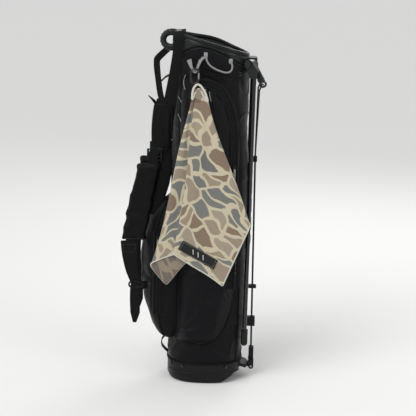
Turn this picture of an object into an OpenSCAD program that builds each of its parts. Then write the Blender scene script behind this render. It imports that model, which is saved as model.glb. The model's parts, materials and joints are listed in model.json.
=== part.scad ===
// Golf stand bag: fabric tube on stays, moulded base and collar, folding two-leg stand,
// double shoulder strap, zipped pockets and a clipped-on towel.
// +Z up, +X towards the stand legs, -X the spine with handle and straps, -Y the towel side.

/* [Bag tube] */
// Height of the rim at the middle of the mouth
rim_h = 848; // [760:1:920]
// Slope of the rim, lower towards the legs
rim_slope = 15.6; // [8:0.1:20]
// Width of the tube from spine to legs
body_w = 186; // [170:1:225]
// Depth of the tube from side to side
body_d = 176; // [160:1:215]
// Thickness of the padded tube fabric
skin_t = 2; // [1.5:0.1:3]
// Height of the collar band
collar_h = 43; // [34:1:52]
// Wall of the collar moulding
collar_t = 5; // [4:0.5:7]
// Thickness of the soft rim trim
trim_t = 7; // [4:0.5:10]
// Diameter of a stay rod
stay_d = 8; // [6:0.5:10]
// Thickness of a full-length divider sheet
sheet_t = 1.6; // [1:0.1:3]
// Width of a moulded divider bar
bar_w = 8; // [6:0.5:12]

/* [Base] */
// Height of the base cup
cup_h = 52; // [50:1:60]
// Wall of the base cup
cup_t = 4; // [3:0.5:6]
// Floor of the base cup
floor_t = 6; // [4:0.5:10]
// Angle of the facet that the bag leans on
facet_a = 32.5; // [28:0.5:36]
// Diameter of the lever hinge pin
hinge_pin_d = 6; // [5:0.5:8]
// Distance from lever hinge to lever tip
lever_l = 37; // [34:0.5:42]

/* [Stand] */
// Distance of the leg pivots below the rim's middle
pivot_drop = 49; // [44:1:56]
// Distance of a leg pivot from the middle plane
pivot_y = 50; // [46:0.5:56]
// Splay of each leg hinge
splay = 25; // [15:1:30]
// Outside diameter of a leg tube
leg_d = 11; // [9:0.5:13]
// Length of a leg from pivot to sole
leg_l = 704; // [620:1:740]
// Diameter of the pull rod
rod_d = 5; // [4:0.5:6]
// Diameter of the upper pull wires
wire_d = 4; // [3:0.5:5]
// Diameter of a leg pivot screw
pivot_d = 8; // [6:0.5:10]

/* [Soft goods] */
// Thickness of a shoulder pad
pad_t = 16; // [10:1:20]
// Thickness of webbing
web_t = 2.4; // [1.5:0.1:3]
// Wall of a pocket
pocket_t = 2.5; // [1.5:0.1:4]
// How far the side pockets stand out from the tube
side_bulge = 24; // [14:1:30]
// How far the ball pocket stands out at the spine
ball_bulge = 74; // [50:1:90]
// Thickness of the folded towel
towel_t = 12; // [8:1:16]

/* [Hidden] */
$fn = 48;
run_gap = 0.06;
soft_gap = 0.5;
guide_gap = 0.1;

// colours
fabric_c = [0.07, 0.07, 0.08];
web_c = [0.09, 0.10, 0.09];
plastic_c = [0.20, 0.22, 0.21];
rubber_c = [0.05, 0.05, 0.05];
metal_c = [0.30, 0.30, 0.31];
grey_c = [0.62, 0.62, 0.62];
towel_c = [0.72, 0.67, 0.58];

// tube outlines: half width along X and half depth along Y
roundness = 2.5;
body_a = body_w / 2;
body_b = body_d / 2;
cup_a = body_a + 1;
cup_b = body_b + 2;
collar_a = body_a - 2;
collar_b = body_b - 1;
skin_top = rim_h - trim_t - collar_h;

// base lever and pull rod
tip_x = body_a + 26.6;
tip_z = 26.3;
hinge_x = body_a - 9;
hinge_z = tip_z + sqrt(pow(lever_l, 2) - pow(tip_x - hinge_x, 2));
lever_half = 30;
tip_half = 12;
cheek_t = 5.5;
tip_pin_d = 5;
recess_x = hinge_x - 7.5;
pivot_h = rim_h - pivot_drop;
sleeve_z = 0.715 * pivot_h;

// leg hinges: position of the pivot and of the crank eye in the plane of the leg
pivot_x = body_a + 2;
knuckle_t = 16;
tube_u = 13.3;
tube_lean = 0.4;
eye_x = pivot_x + 30;
eye_drop = 46;
arm_t = 6;
eye_u = (eye_x - pivot_x + (arm_t / 2 + 0.6) * sin(splay)) / cos(splay);
eye_y = pivot_y + eye_u * sin(splay) + (arm_t / 2 + 0.6) * cos(splay);
eye_z = pivot_h - eye_drop;
eye_r = 4.2;
wire_y = 40;
wire_end_y = eye_y + 13;

// pockets
pocket_a = body_a + 4;
pocket_b = body_b + side_bulge;
ball_x = -body_a + 3;
ball_b = 66;
ball_front = ball_x + 14;
bottle_x = 10;
bottle_z = 150;
bottle_h = 205;
bottle_half = 42;
bottle_out = 56;
zip_x = 60;
zip_w = 9;
zip_t = 2.2;

// towel clip
clip_x = -39;
clip_y = -(body_b + side_bulge + 10);
clip_top = rim_h - 58.5;
clip_r = 9;
clip_wire = 5;
clip_l = 34;

// ---------- outlines and helpers ----------
// point of a rounded oval at angle t
function oval_pt(a, b, t) =
    [a * sign(cos(t)) * pow(abs(cos(t)), 2 / roundness),
     b * sign(sin(t)) * pow(abs(sin(t)), 2 / roundness)];
function oval_pts(a, b, n = 56) = [for (i = [0 : n - 1]) oval_pt(a, b, 360 * i / n)];
// where the oval's side lies at a given x
function oval_y(a, b, x) = b * pow(1 - pow(abs(x) / a, roundness), 1 / roundness);
function oval_x(a, b, y) = a * pow(1 - pow(abs(y) / b, roundness), 1 / roundness);
// height of the sloping rim plane at x, for a plane that is z0 high in the middle
function slope_z(z0, x) = z0 - x * tan(rim_slope);
// unit normal of a chain of points at index i
function chain_dir(p, i) =
    let (d = p[min(i + 1, len(p) - 1)] - p[max(i - 1, 0)]) d / norm(d);
function chain_side(p, i, w) =
    let (d = chain_dir(p, i)) [p[i][0] - d[1] * w / 2, p[i][1] + d[0] * w / 2];
// closed outline of a band of width w along a chain of points
function band(p, w) = concat(
    [for (i = [0 : len(p) - 1]) chain_side(p, i, w)],
    [for (i = [len(p) - 1 : -1 : 0]) chain_side(p, i, -w)]);

// vertical prism of an oval
module oval_prism(a, b, z0, z1) {
    translate([0, 0, z0]) linear_extrude(z1 - z0) polygon(oval_pts(a, b));
}

// outline in X and Z, extruded from y0 to y1
module slab(y0, y1) {
    translate([0, y1, 0]) rotate([90, 0, 0]) linear_extrude(y1 - y0) children();
}

// everything below the sloping plane that is z0 high in the middle
module below_slope(z0) {
    big = 3 * rim_h;
    translate([0, 0, z0]) rotate([0, rim_slope, 0]) translate([-big / 2, -big / 2, -big])
        cube([big, big, big]);
}

module oval_ring(a, b, t, z_low, z_high) {
    difference() {
        intersection() {
            oval_prism(a, b, 0, z_high + 200);
            below_slope(z_high);
        }
        oval_prism(a - t, b - t, -1, z_high + 201);
        below_slope(z_low);
    }
}

module rod(p, q, d) {
    v = q - p;
    translate(p) rotate([0, acos(v[2] / norm(v)), atan2(v[1], v[0])]) cylinder(d = d, h = norm(v));
}

module axle(x, z, d, y0, y1) {
    translate([x, y1, z]) rotate([90, 0, 0]) cylinder(d = d, h = y1 - y0);
}

// rod along a chain of points, with a slightly upset ball at each bend
module bent_rod(points, d) {
    for (i = [0 : len(points) - 2]) rod(points[i], points[i + 1], d);
    for (i = [1 : len(points) - 2]) translate(points[i]) sphere(d = d + 0.8);
}

// ---------- base ----------
module facet_cut(lift) {
    translate([cup_a - 4, 0, 32 + lift]) rotate([0, -facet_a, 0]) translate([-120, -200, -200])
        cube([400, 400, 200]);
}

module cup_outer() {
    hull() {
        oval_prism(cup_a - 12, cup_b - 12, 0, 1);
        oval_prism(cup_a - 4, cup_b - 4, 4, 5);
        oval_prism(cup_a, cup_b, 14, cup_h);
    }
}

// space that the lever swings in, or with grow the walls round it
module lever_housing(grow) {
    z0 = 27 - grow;
    translate([recess_x - grow, -lever_half - 1 - grow, z0])
        cube([60, 2 * (lever_half + 1 + grow), cup_h - 4.5 + grow - z0]);
}

module base_cup() {
    color(plastic_c) difference() {
        cup_outer();
        difference() {
            oval_prism(cup_a - cup_t, cup_b - cup_t, floor_t, cup_h + 40);
            facet_cut(floor_t + 1);
            lever_housing(4.5);
        }
        facet_cut(0);
        lever_housing(0);
        axle(hinge_x, hinge_z, hinge_pin_d, -lever_half - 4, lever_half + 4);
    }
}

module base_rivets() {
    color(metal_c) difference() {
        for (t = [60, 120, 150, 210, 240, 300]) {
            p = oval_pt(cup_a, cup_b, t);
            translate([p[0], p[1], cup_h - 9]) rotate([0, 90, atan2(p[1], p[0])])
                translate([0, 0, -4]) cylinder(r = 4.5, h = 6);
        }
        oval_prism(cup_a, cup_b, 0, cup_h);
    }
}

module lever_hinge_pin() {
    color(metal_c) axle(hinge_x, hinge_z, hinge_pin_d, -lever_half - 4, lever_half + 4);
}

// ---------- tube ----------
stay_gap = 0.7;
stay_in = skin_t + stay_d / 2 + stay_gap;
stay_at = oval_pt(body_a - stay_in, body_b - stay_in, 47.5);

module stay_rods() {
    color(metal_c) for (sx = [-1, 1]) for (sy = [-1, 1]) difference() {
        translate([sx * stay_at[0], sy * stay_at[1], floor_t]) cylinder(d = stay_d, h = rim_h);
        if (sx > 0) facet_cut(floor_t + 1);
        translate([0, 0, 500]) difference() {
            cube([600, 600, 1400], center = true);
            translate([0, 0, -500]) below_slope(skin_top);
        }
    }
}

// planes of the moulded divider's underside and top
bar_low = rim_h - trim_t - 32;
bar_top = rim_h - trim_t - 4;

module divider_panels() {
    inset = collar_t + 3;
    z0 = cup_h + 30;
    color(fabric_c) intersection() {
        union() {
            translate([-sheet_t / 2, -body_b, z0]) cube([sheet_t, body_d, rim_h]);
            translate([-body_a, -sheet_t / 2, z0]) cube([body_w, sheet_t, rim_h]);
        }
        oval_prism(body_a - inset, body_b - inset, cup_h, 2 * rim_h);
        below_slope(bar_low);
    }
}

module bag_skin() {
    color(fabric_c) difference() {
        intersection() {
            oval_prism(body_a, body_b, cup_h, 2 * rim_h);
            below_slope(skin_top);
        }
        oval_prism(body_a - skin_t, body_b - skin_t, cup_h - 1, 2 * rim_h);
    }
}

module collar() {
    color(plastic_c) oval_ring(collar_a, collar_b, collar_t, skin_top, rim_h - trim_t);
}

module rim_trim() {
    color(rubber_c) oval_ring(collar_a + 1, collar_b + 1, collar_t + 3, rim_h - trim_t, rim_h);
}

module top_divider() {
    color(plastic_c) difference() {
        intersection() {
            union() {
                translate([-bar_w / 2, -body_b, cup_h]) cube([bar_w, body_d, 2 * rim_h]);
                translate([-body_a, -bar_w / 2, cup_h]) cube([body_w, bar_w, 2 * rim_h]);
            }
            oval_prism(collar_a - collar_t, collar_b - collar_t, cup_h, 2 * rim_h);
            below_slope(bar_top);
        }
        below_slope(bar_low);
    }
}

// ---------- spine handle ----------
handle_top = slope_z(rim_h, -body_a) + 3;
handle_half = 14;

module spine_handle() {
    x0 = -collar_a;
    color(plastic_c) difference() {
        slab(-handle_half, handle_half) difference() {
            hull() {
                translate([x0 - 18, handle_top - 20]) circle(r = 19);
                translate([x0 - 18, handle_top - 32]) circle(r = 19);
                translate([x0 + 2, handle_top - 50]) square([6, 44]);
            }
            hull() {
                translate([x0 - 14, handle_top - 22]) circle(r = 6);
                translate([x0 - 14, handle_top - 30]) circle(r = 6);
                translate([x0 - 8, handle_top - 36]) square([6, 20]);
            }
        }
        oval_prism(collar_a + 1, collar_b + 1, 700, 2 * rim_h);
        for (sy = [-1, 1]) for (dz = [6, 44])
            translate([x0 - 20, sy * 8, handle_top - dz]) rotate([0, 90, 0]) cylinder(d = 4, h = 30);
    }
}

module handle_screws() {
    color(metal_c) difference() {
        for (sy = [-1, 1]) for (dz = [6, 44])
            translate([-collar_a - 8, sy * 8, handle_top - dz]) rotate([0, 90, 0]) cylinder(d = 4, h = 14);
        oval_prism(collar_a + 1, collar_b + 1, 700, 2 * rim_h);
    }
}

// ---------- pockets ----------
// soft shell between the tube and a wider oval, cut to an outline in X and Z
module side_shell(shrink, side) {
    y_far = side * 200;
    intersection() {
        slab(min(0, y_far), max(0, y_far)) offset(delta = -shrink) children();
        difference() {
            oval_prism(pocket_a - shrink, pocket_b - shrink, 60, rim_h);
            oval_prism(body_a + soft_gap + shrink, body_b + soft_gap + shrink, 59, rim_h + 1);
        }
    }
}

module side_pocket(side) {
    color(fabric_c) difference() {
        side_shell(0, side) children();
        side_shell(pocket_t, side) children();
    }
}

module apparel_pocket() {
    top = skin_top - 30;
    side_pocket(-1) polygon([[-74, 108], [6, 103], [43, 135], [66, 197], [74, 262], [74, 590],
        [52, top - 90], [4, top], [-50, top + 8], [-70, top - 16]]);
}

module far_pocket() {
    top = skin_top - 60;
    side_pocket(1) polygon([[-66, 400], [70, 400], [74, 430], [74, top - 60], [50, top], [-52, top],
        [-70, top - 30]]);
}

module zip_strip(side, z0, z1) {
    color(metal_c) difference() {
        translate([zip_x - zip_w / 2, side > 0 ? 0 : -150, z0]) cube([zip_w, 150, z1 - z0]);
        oval_prism(pocket_a + soft_gap, pocket_b + soft_gap, 0, 2 * rim_h);
        difference() {
            translate([0, 0, 1]) cube([600, 600, 3 * rim_h], center = true);
            oval_prism(pocket_a + soft_gap + zip_t, pocket_b + soft_gap + zip_t, 0, 2 * rim_h);
        }
    }
}

// zip slider body with its puller, standing on the strip's outer face
module slider(x, y, z, side) {
    color(metal_c) translate([x, y, z]) {
        translate([-4, side > 0 ? 0 : -4, -6]) cube([8, 4, 12]);
        translate([-2.5, side > 0 ? 4 : -6, -26]) cube([5, 2, 28]);
    }
}

slider_y = oval_y(pocket_a + soft_gap + zip_t, pocket_b + soft_gap + zip_t, zip_x - 4) + 0.4;
near_zip = [250, 560];
far_zip_z = [430, 650];

module apparel_zip() { zip_strip(-1, near_zip[0], near_zip[1]); }
module far_zip() { zip_strip(1, far_zip_z[0], far_zip_z[1]); }
module apparel_slider() { slider(zip_x, -slider_y, near_zip[1] - 8, -1); }
module far_slider() { slider(zip_x, slider_y, far_zip_z[1] - 8, 1); }

module ball_plan(shrink, z0, z1) {
    translate([ball_x, 0, 0]) oval_prism(ball_bulge + 3 - shrink, ball_b - shrink, z0, z1);
}

module ball_shell(shrink) {
    difference() {
        intersection() {
            slab(-ball_b, ball_b) offset(delta = -shrink) polygon([
                [ball_front, 112], [ball_x - 0.36 * ball_bulge, 112], [ball_x - 0.62 * ball_bulge, 143],
                [ball_x - 0.81 * ball_bulge, 190], [ball_x - 0.96 * ball_bulge, 243],
                [ball_x - 1.03 * ball_bulge, 321], [ball_x - 0.86 * ball_bulge, 400],
                [ball_x - 0.42 * ball_bulge, 452], [ball_front, 462]]);
            ball_plan(shrink, 60, 500);
        }
        oval_prism(body_a + soft_gap + shrink, body_b + soft_gap + shrink, 59, 501);
    }
}

module ball_pocket() {
    color(fabric_c) difference() {
        ball_shell(0);
        ball_shell(pocket_t);
    }
}

ball_zip_x = ball_x - 0.42 * ball_bulge;
ball_zip_y = oval_y(ball_bulge + 3, ball_b, ball_x - ball_zip_x) + soft_gap;

module ball_zip() {
    color(metal_c) translate([ball_zip_x - zip_w / 2, -ball_zip_y - 4, 176]) cube([zip_w, zip_t, 204]);
}

module ball_slider() { slider(ball_zip_x, -ball_zip_y - 4.4, 366, -1); }

module bottle_shape(shrink, z0) {
    intersection() {
        translate([bottle_x, body_b - 20, z0]) linear_extrude(bottle_h + 10)
            polygon(oval_pts(bottle_half - shrink, bottle_out + 20 - shrink));
        translate([-200, body_b + soft_gap + shrink, 0]) cube([400, 200, bottle_z + bottle_h + 20]);
    }
}

module bottle_pocket() {
    color(fabric_c) difference() {
        intersection() {
            bottle_shape(0, bottle_z);
            translate([-200, 0, 0]) cube([400, 400, bottle_z + bottle_h]);
        }
        bottle_shape(3, bottle_z + 4);
    }
}

module hip_pad() {
    color(fabric_c) difference() {
        translate([0, 0, 330]) linear_extrude(230) intersection() {
            polygon(oval_pts(body_a + 13, body_b + 13));
            translate([0, -34]) square([200, 68]);
        }
        oval_prism(body_a + soft_gap, body_b + soft_gap, 0, 2 * rim_h);
    }
}

module trunk_loop() {
    color(web_c) slab(-12, 12) polygon(band([[-body_a - 2, 104], [-body_a - 9, 100],
        [-body_a - 17, 88], [-body_a - 17, 76], [-body_a - 8, 62], [-body_a - 2, 58]], web_t));
}

// ---------- towel side loops ----------
cord_d = 4;
loop_z = clip_top - 6.5;

module towel_loop() {
    color(grey_c) {
        rod([clip_x - 12, -body_b - 1, loop_z + 17], [clip_x - 1, clip_y, loop_z], cord_d);
        rod([clip_x + 12, -body_b - 1, loop_z + 18.5], [clip_x + 1, clip_y, loop_z], cord_d);
        translate([clip_x, clip_y, loop_z]) sphere(d = cord_d + 1);
    }
}

module grey_loop() {
    // x, and depth below the rim's middle
    hang = [[-14, 29], [-8, 44], [4, 56], [20, 64], [36, 68], [47, 64], [50, 52], [45, 42]];
    color(grey_c) slab(-body_b - 7, -body_b - 4)
        polygon(band([for (p = hang) [p[0], rim_h - p[1]]], 7));
}

// ---------- stand: bracket and screws ----------
// moves a child from the leg's own plane to the near leg pivot
module leg_place() {
    translate([pivot_x, -pivot_y, pivot_h]) rotate([0, 0, -splay]) children();
}

module leg_bracket() {
    color(plastic_c) difference() {
        union() {
            translate([body_a - 10, -38, pivot_h - 20]) cube([28, 76, 35]);
            leg_place() axle(0, 0, 24, 0, 12);
            mirror([0, 1, 0]) leg_place() axle(0, 0, 24, 0, 12);
        }
        oval_prism(collar_a + 1, collar_b + 1, 700, 2 * rim_h);
        leg_place() axle(0, 0, pivot_d, -1, 13);
        mirror([0, 1, 0]) leg_place() axle(0, 0, pivot_d, -1, 13);
        for (sy = [-1, 1]) translate([body_a - 20, sy * 22, pivot_h - 2]) rotate([0, 90, 0])
            cylinder(d = 5, h = 60);
    }
}

module bracket_screws() {
    color(metal_c) for (sy = [-1, 1]) {
        translate([collar_a + 1.5, sy * 22, pivot_h - 2]) rotate([0, 90, 0])
            cylinder(d = 5, h = body_a + 18 - collar_a - 1.5);
        translate([body_a + 18, sy * 22, pivot_h - 2]) rotate([0, 90, 0]) cylinder(d = 9, h = 2.5);
    }
}

module pivot_screw() {
    leg_place() {
        axle(0, 0, pivot_d, -knuckle_t - 1, 11);
        axle(0, 0, 16, -knuckle_t - 4, -knuckle_t - 0.8);
    }
}

module pivot_screws() {
    color(metal_c) {
        pivot_screw();
        mirror([0, 1, 0]) pivot_screw();
    }
}

module wire_guide(z0, h, half, slot_x0, slot_x1) {
    out_x = slot_x1 + 2.5;
    color(plastic_c) difference() {
        translate([body_a - 12, -half, z0]) cube([out_x - body_a + 12, 2 * half, h]);
        oval_prism(body_a + guide_gap, body_b + guide_gap, 0, rim_h);
        translate([slot_x0, -rod_d / 2 - 1.2, z0 - 1]) cube([slot_x1 - slot_x0, rod_d + 2.4, h + 2]);
    }
}

// x of the pull rod at height z
function rod_x(z) = tip_x - (tip_x - sleeve_x) * (z - tip_z) / (sleeve_z - tip_z);
sleeve_x = tip_x - 5.1;

module upper_wire_guide() { wire_guide(230, 8, 7, rod_x(234) - 4, rod_x(234) + 7); }
module lower_wire_guide() { wire_guide(131, 24, 9, rod_x(143) - 4.5, rod_x(143) + 5.5); }

// ---------- stand: lever, rod and wires ----------
module base_lever() {
    arm_a = atan2(tip_z - hinge_z, tip_x - hinge_x);
    wide = lever_half - 1;
    slim = tip_half - 1;
    color(plastic_c) difference() {
        union() {
            axle(hinge_x, hinge_z, 13, -lever_half, lever_half);
            translate([hinge_x, 0, hinge_z]) rotate([0, -arm_a, 0]) translate([0, 0, -4])
                linear_extrude(8) polygon([[3.5, -wide], [lever_l - 14, -wide],
                    [lever_l - 9, -slim], [lever_l - 3.5, -slim], [lever_l - 3.5, slim],
                    [lever_l - 9, slim], [lever_l - 14, wide], [3.5, wide]]);
            axle(tip_x, tip_z, 12, -tip_half, tip_half);
        }
        axle(hinge_x, hinge_z, hinge_pin_d + 2 * run_gap, -lever_half - 1, lever_half + 1);
        axle(tip_x, tip_z, tip_pin_d, -tip_half - 1, tip_half + 1);
    }
}

module lever_tip_pin() {
    reach = tip_half + 0.4 + cheek_t;
    color(metal_c) axle(tip_x, tip_z, tip_pin_d, -reach, reach);
}

module rod_foot() {
    inner = tip_half + 0.4;
    outer = inner + cheek_t;
    top = tip_z + 49;
    color(plastic_c) difference() {
        union() {
            for (side = [0, 1]) mirror([0, side, 0]) {
                axle(tip_x, tip_z, 13, inner, outer);
                translate([tip_x - 6.5, inner, tip_z]) cube([13, cheek_t, 16]);
            }
            translate([tip_x - 6.5, -outer, tip_z + 9]) cube([13, 2 * outer, 9]);
            translate([tip_x - 6, -8, tip_z + 17]) cube([12, 16, top - tip_z - 17]);
        }
        for (side = [0, 1]) mirror([0, side, 0])
            axle(tip_x, tip_z, tip_pin_d + 2 * run_gap, inner - 1, outer + 1);
        rod(rod_point(tip_z + 11), rod_point(top + 5), rod_d);
    }
}

function rod_point(z) = [rod_x(z), 0, z];

module pull_wire() {
    bent_rod([[sleeve_x, -3, sleeve_z], [eye_x - 7, -wire_y, eye_z - 18], [eye_x, -wire_y, eye_z],
        [eye_x, -wire_end_y, eye_z]], wire_d);
}

module pull_rod() {
    color(metal_c) {
        rod(rod_point(tip_z + 11), rod_point(sleeve_z), rod_d);
        difference() {
            union() {
                pull_wire();
                mirror([0, 1, 0]) pull_wire();
                translate([sleeve_x, -4, sleeve_z]) rotate([-90, 0, 0]) cylinder(d = wire_d, h = 8);
            }
            translate([0, 0, sleeve_z - 200 - 2]) cube([400, 400, 400], center = true);
        }
    }
}

module rod_sleeve() {
    color(plastic_c) difference() {
        translate([rod_x(sleeve_z - 8), 0, sleeve_z - 18]) cylinder(d = rod_d + 5, h = 15);
        rod(rod_point(sleeve_z - 30), rod_point(sleeve_z + 5), rod_d);
    }
}

// ---------- stand: legs, drawn in the plane of the leg ----------
module leg_axis(z0, z1, d) {
    translate([tube_u, -knuckle_t / 2 - 0.4, 0]) rotate([0, tube_lean, 0])
        translate([0, 0, z0]) cylinder(d = d, h = z1 - z0);
}

module knuckle() {
    leg_place() difference() {
        union() {
            axle(0, 0, 24, -knuckle_t - 0.4, -0.4);
            slab(-knuckle_t - 0.4, -0.4) polygon([[-5, 2], [-4, -10], [4, -33], [24, -33], [25, -14],
                [11, 5]]);
            slab(-arm_t - 0.6, -0.6) polygon([[20, -14], [20, -33], [eye_u - 5, -eye_drop - 7],
                [eye_u + 7, -eye_drop + 4], [25, -14]]);
            axle(eye_u, -eye_drop, 18, -arm_t - 0.6, -0.6);
        }
        axle(0, 0, pivot_d + 2 * run_gap, -knuckle_t - 2, 1);
        leg_axis(-60, -16, leg_d);
    }
}

module knuckle_bored() {
    color(plastic_c) difference() {
        knuckle();
        axle(eye_x, eye_z, 2 * eye_r, -eye_y - 14, -eye_y + 14);
    }
}

module leg_tube() {
    color(metal_c) leg_place() difference() {
        leg_axis(-leg_l + 8, -16, leg_d);
        leg_axis(-leg_l + 7, -15, leg_d - 2.4);
    }
}

module leg_foot() {
    color(rubber_c) leg_place() difference() {
        union() {
            leg_axis(-leg_l + 8, -leg_l + 42, leg_d + 6);
            translate([tube_u, -knuckle_t / 2 - 0.4, 0]) rotate([0, tube_lean, 0])
                translate([0, 0, -leg_l + 8]) sphere(d = leg_d + 6);
        }
        leg_axis(-leg_l + 8, -leg_l + 50, leg_d);
    }
}

module leg_knuckle_near() { knuckle_bored(); }
module leg_tube_near() { leg_tube(); }
module leg_foot_near() { leg_foot(); }
module leg_knuckle_far() { mirror([0, 1, 0]) knuckle_bored(); }
module leg_tube_far() { mirror([0, 1, 0]) leg_tube(); }
module leg_foot_far() { mirror([0, 1, 0]) leg_foot(); }

// ---------- shoulder straps ----------
// height of the buckle, of the pad's ends and of the lower anchor
strap_y = body_b - 26;
buckle_z = [560, 590];
pad_z = [357, buckle_z[0] - 1];
anchor_z = 246;
anchor_x = ball_x - ball_bulge - 10;
web_x = -body_a + 2;
rim_at_strap = slope_z(rim_h, web_x);
web_top = rim_at_strap + 3.6;
strap_mid = -strap_y - 6;
// the outlines below are drawn for this anchor and this half width of the tube
drawn_anchor = -174;
drawn_a = 93;

// an outline of the strap, moved with the anchor at its foot and with the rim at its top
function strap_shift(z) =
    let (k = (z - anchor_z) / (rim_at_strap - anchor_z))
    (1 - k) * (anchor_x - drawn_anchor) + k * (drawn_a - body_a);
function strap_pts(p) = [for (q = p) [q[0] + strap_shift(q[1]), q[1]]];

module strap_web() {
    over_w = 18;
    color(web_c) {
        slab(strap_mid - web_t, strap_mid) polygon(concat(
            [[web_x, web_top], [web_x + over_w, web_top]],
            strap_pts([[-80, 756], [-88, 700], [-100, buckle_z[1]], [-132, buckle_z[1]],
                [-118, 700], [-106, 756]])));
        translate([web_x, strap_mid, web_top - web_t]) cube([over_w, 22, web_t]);
    }
}

module strap_buckle() {
    slot_w = 28;
    slot_h = 5;
    x0 = -152 + strap_shift(buckle_z[0]);
    color(plastic_c) difference() {
        translate([x0, strap_mid - 4, buckle_z[0]]) cube([slot_w + 10, 8, buckle_z[1] - buckle_z[0]]);
        for (k = [0 : 2])
            translate([x0 + 5, strap_mid - 5, buckle_z[0] + 4 + 9 * k]) cube([slot_w, 10, slot_h]);
    }
}

module shoulder_pad() {
    color(fabric_c) slab(strap_mid - pad_t / 2, strap_mid + pad_t / 2) polygon(strap_pts([
        [-176, pad_z[1] - 4], [-170, pad_z[1]], [-118, pad_z[1]], [-114, pad_z[1] - 6],
        [-122, 500], [-138, 420], [-150, pad_z[0]], [-214, pad_z[0]], [-206, 430], [-190, 500]]));
}

module strap_end() {
    color(web_c) slab(strap_mid - 2, strap_mid + 2) polygon(strap_pts([[-214, pad_z[0] - 0.4],
        [-170, pad_z[0] - 0.4], [-174, 325], [-172, 281], [-160, anchor_z + 6], [-160, anchor_z - 6],
        [-188, anchor_z - 2], [-204, 281], [-215, 325]]));
}

module strap_tail() {
    color(web_c) slab(strap_mid - web_t, strap_mid) polygon(strap_pts([[-189, anchor_z - 7],
        [-165, anchor_z - 7.5], [-166, 170], [-176, 152], [-184, 160]]));
}

module strap_web_near() { strap_web(); }
module strap_buckle_near() { strap_buckle(); }
module shoulder_pad_near() { shoulder_pad(); }
module strap_end_near() { strap_end(); }
module strap_tail_near() { strap_tail(); }
module strap_web_far() { mirror([0, 1, 0]) strap_web(); }
module strap_buckle_far() { mirror([0, 1, 0]) strap_buckle(); }
module shoulder_pad_far() { mirror([0, 1, 0]) shoulder_pad(); }
module strap_end_far() { mirror([0, 1, 0]) strap_end(); }
module strap_tail_far() { mirror([0, 1, 0]) strap_tail(); }

// ---------- towel and its clip ----------
clip_top_c = clip_top - clip_r;
clip_low_c = clip_top_c - clip_l + 2 * clip_r;
gate_x = clip_x + clip_r;

module half_ring(z, flip) {
    translate([clip_x, clip_y, z]) rotate([flip ? -90 : 90, 0, 0])
        rotate_extrude(angle = 180) translate([clip_r, 0]) circle(d = clip_wire);
}

gate_pin_d = 1.8;
gate_pin_z = clip_low_c + 3.5;
lug_t = 1.8;

module carabiner() {
    color(rubber_c) {
        half_ring(clip_top_c, false);
        half_ring(clip_low_c, true);
        translate([clip_x - clip_r, clip_y, clip_low_c])
            cylinder(d = clip_wire, h = clip_top_c - clip_low_c);
        difference() {
            translate([gate_x - 2, clip_y - lug_t / 2, clip_low_c - 1]) cube([4, lug_t, 6.5]);
            axle(gate_x, gate_pin_z, gate_pin_d, clip_y - 2, clip_y + 2);
        }
    }
}

module carabiner_gate() {
    slot_t = lug_t + 0.4;
    color(metal_c) difference() {
        translate([gate_x, clip_y, clip_low_c + 1.2])
            cylinder(d = 4.4, h = clip_top_c - clip_low_c - 1.7);
        translate([gate_x - 4, clip_y - slot_t / 2, clip_low_c]) cube([8, slot_t, 7.2]);
        axle(gate_x, gate_pin_z, gate_pin_d + 2 * run_gap, clip_y - 4, clip_y + 4);
    }
}

module gate_pin() {
    color(metal_c) axle(gate_x, gate_pin_z, gate_pin_d, clip_y - 2.2, clip_y + 2.2);
}

tab_r = 7.2;
tab_hole = 5.6;
tab_w = 7;
tab_z = clip_low_c - clip_r - 2.2;
towel_top = tab_z - tab_r - 0.2;
towel_y = clip_y + towel_t / 2;

// outline drawn from the middle of the towel's top
module towel_outline(y0, y1, outline) {
    slab(y0, y1) polygon([for (p = outline) [clip_x + p[0], towel_top - p[1]]]);
}

module towel() {
    color(towel_c) towel_outline(towel_y - towel_t, towel_y, [[-5, 0], [6, 0], [59, 106], [144, 325],
        [71, 483], [-10, 431], [-51, 484], [-103, 433], [-33, 106]]);
}

// sewn tab that hangs the towel on the clip
module towel_tab() {
    color(towel_c) translate([clip_x - tab_w / 2, clip_y, tab_z]) rotate([0, 90, 0]) difference() {
        cylinder(r = tab_r, h = tab_w);
        translate([0, 0, -1]) cylinder(r = tab_hole, h = tab_w + 2);
    }
}

module towel_label() {
    y1 = towel_y - towel_t - 0.2;
    color(rubber_c) towel_outline(y1 - 1.2, y1, [[-19, 369], [66, 416], [56, 439], [-31, 391]]);
}

base_cup();
base_rivets();
lever_hinge_pin();
stay_rods();
divider_panels();
bag_skin();
collar();
rim_trim();
top_divider();
spine_handle();
handle_screws();
apparel_pocket();
apparel_zip();
apparel_slider();
ball_pocket();
ball_zip();
ball_slider();
far_pocket();
far_zip();
far_slider();
bottle_pocket();
hip_pad();
trunk_loop();
towel_loop();
grey_loop();
leg_bracket();
bracket_screws();
pivot_screws();
upper_wire_guide();
lower_wire_guide();
base_lever();
lever_tip_pin();
pull_rod();
rod_foot();
rod_sleeve();
leg_knuckle_near();
leg_tube_near();
leg_foot_near();
leg_knuckle_far();
leg_tube_far();
leg_foot_far();
strap_web_near();
strap_buckle_near();
shoulder_pad_near();
strap_end_near();
strap_tail_near();
strap_web_far();
strap_buckle_far();
shoulder_pad_far();
strap_end_far();
strap_tail_far();
carabiner();
carabiner_gate();
gate_pin();
towel();
towel_tab();
towel_label();
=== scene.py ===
# %% [markdown]
# # Golf stand bag
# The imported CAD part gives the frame: its nodes, its bodies and their joints. This script adds what
# a moulding tool or a sewing machine gives the real bag. Hard pieces are either kept or copied and
# bevelled. Soft pieces are made anew, from formulas, and ride on the same bodies.

# %% Start
import json
import math
import bmesh
import bpy
import numpy as np
from mathutils import Matrix, Vector


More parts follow.
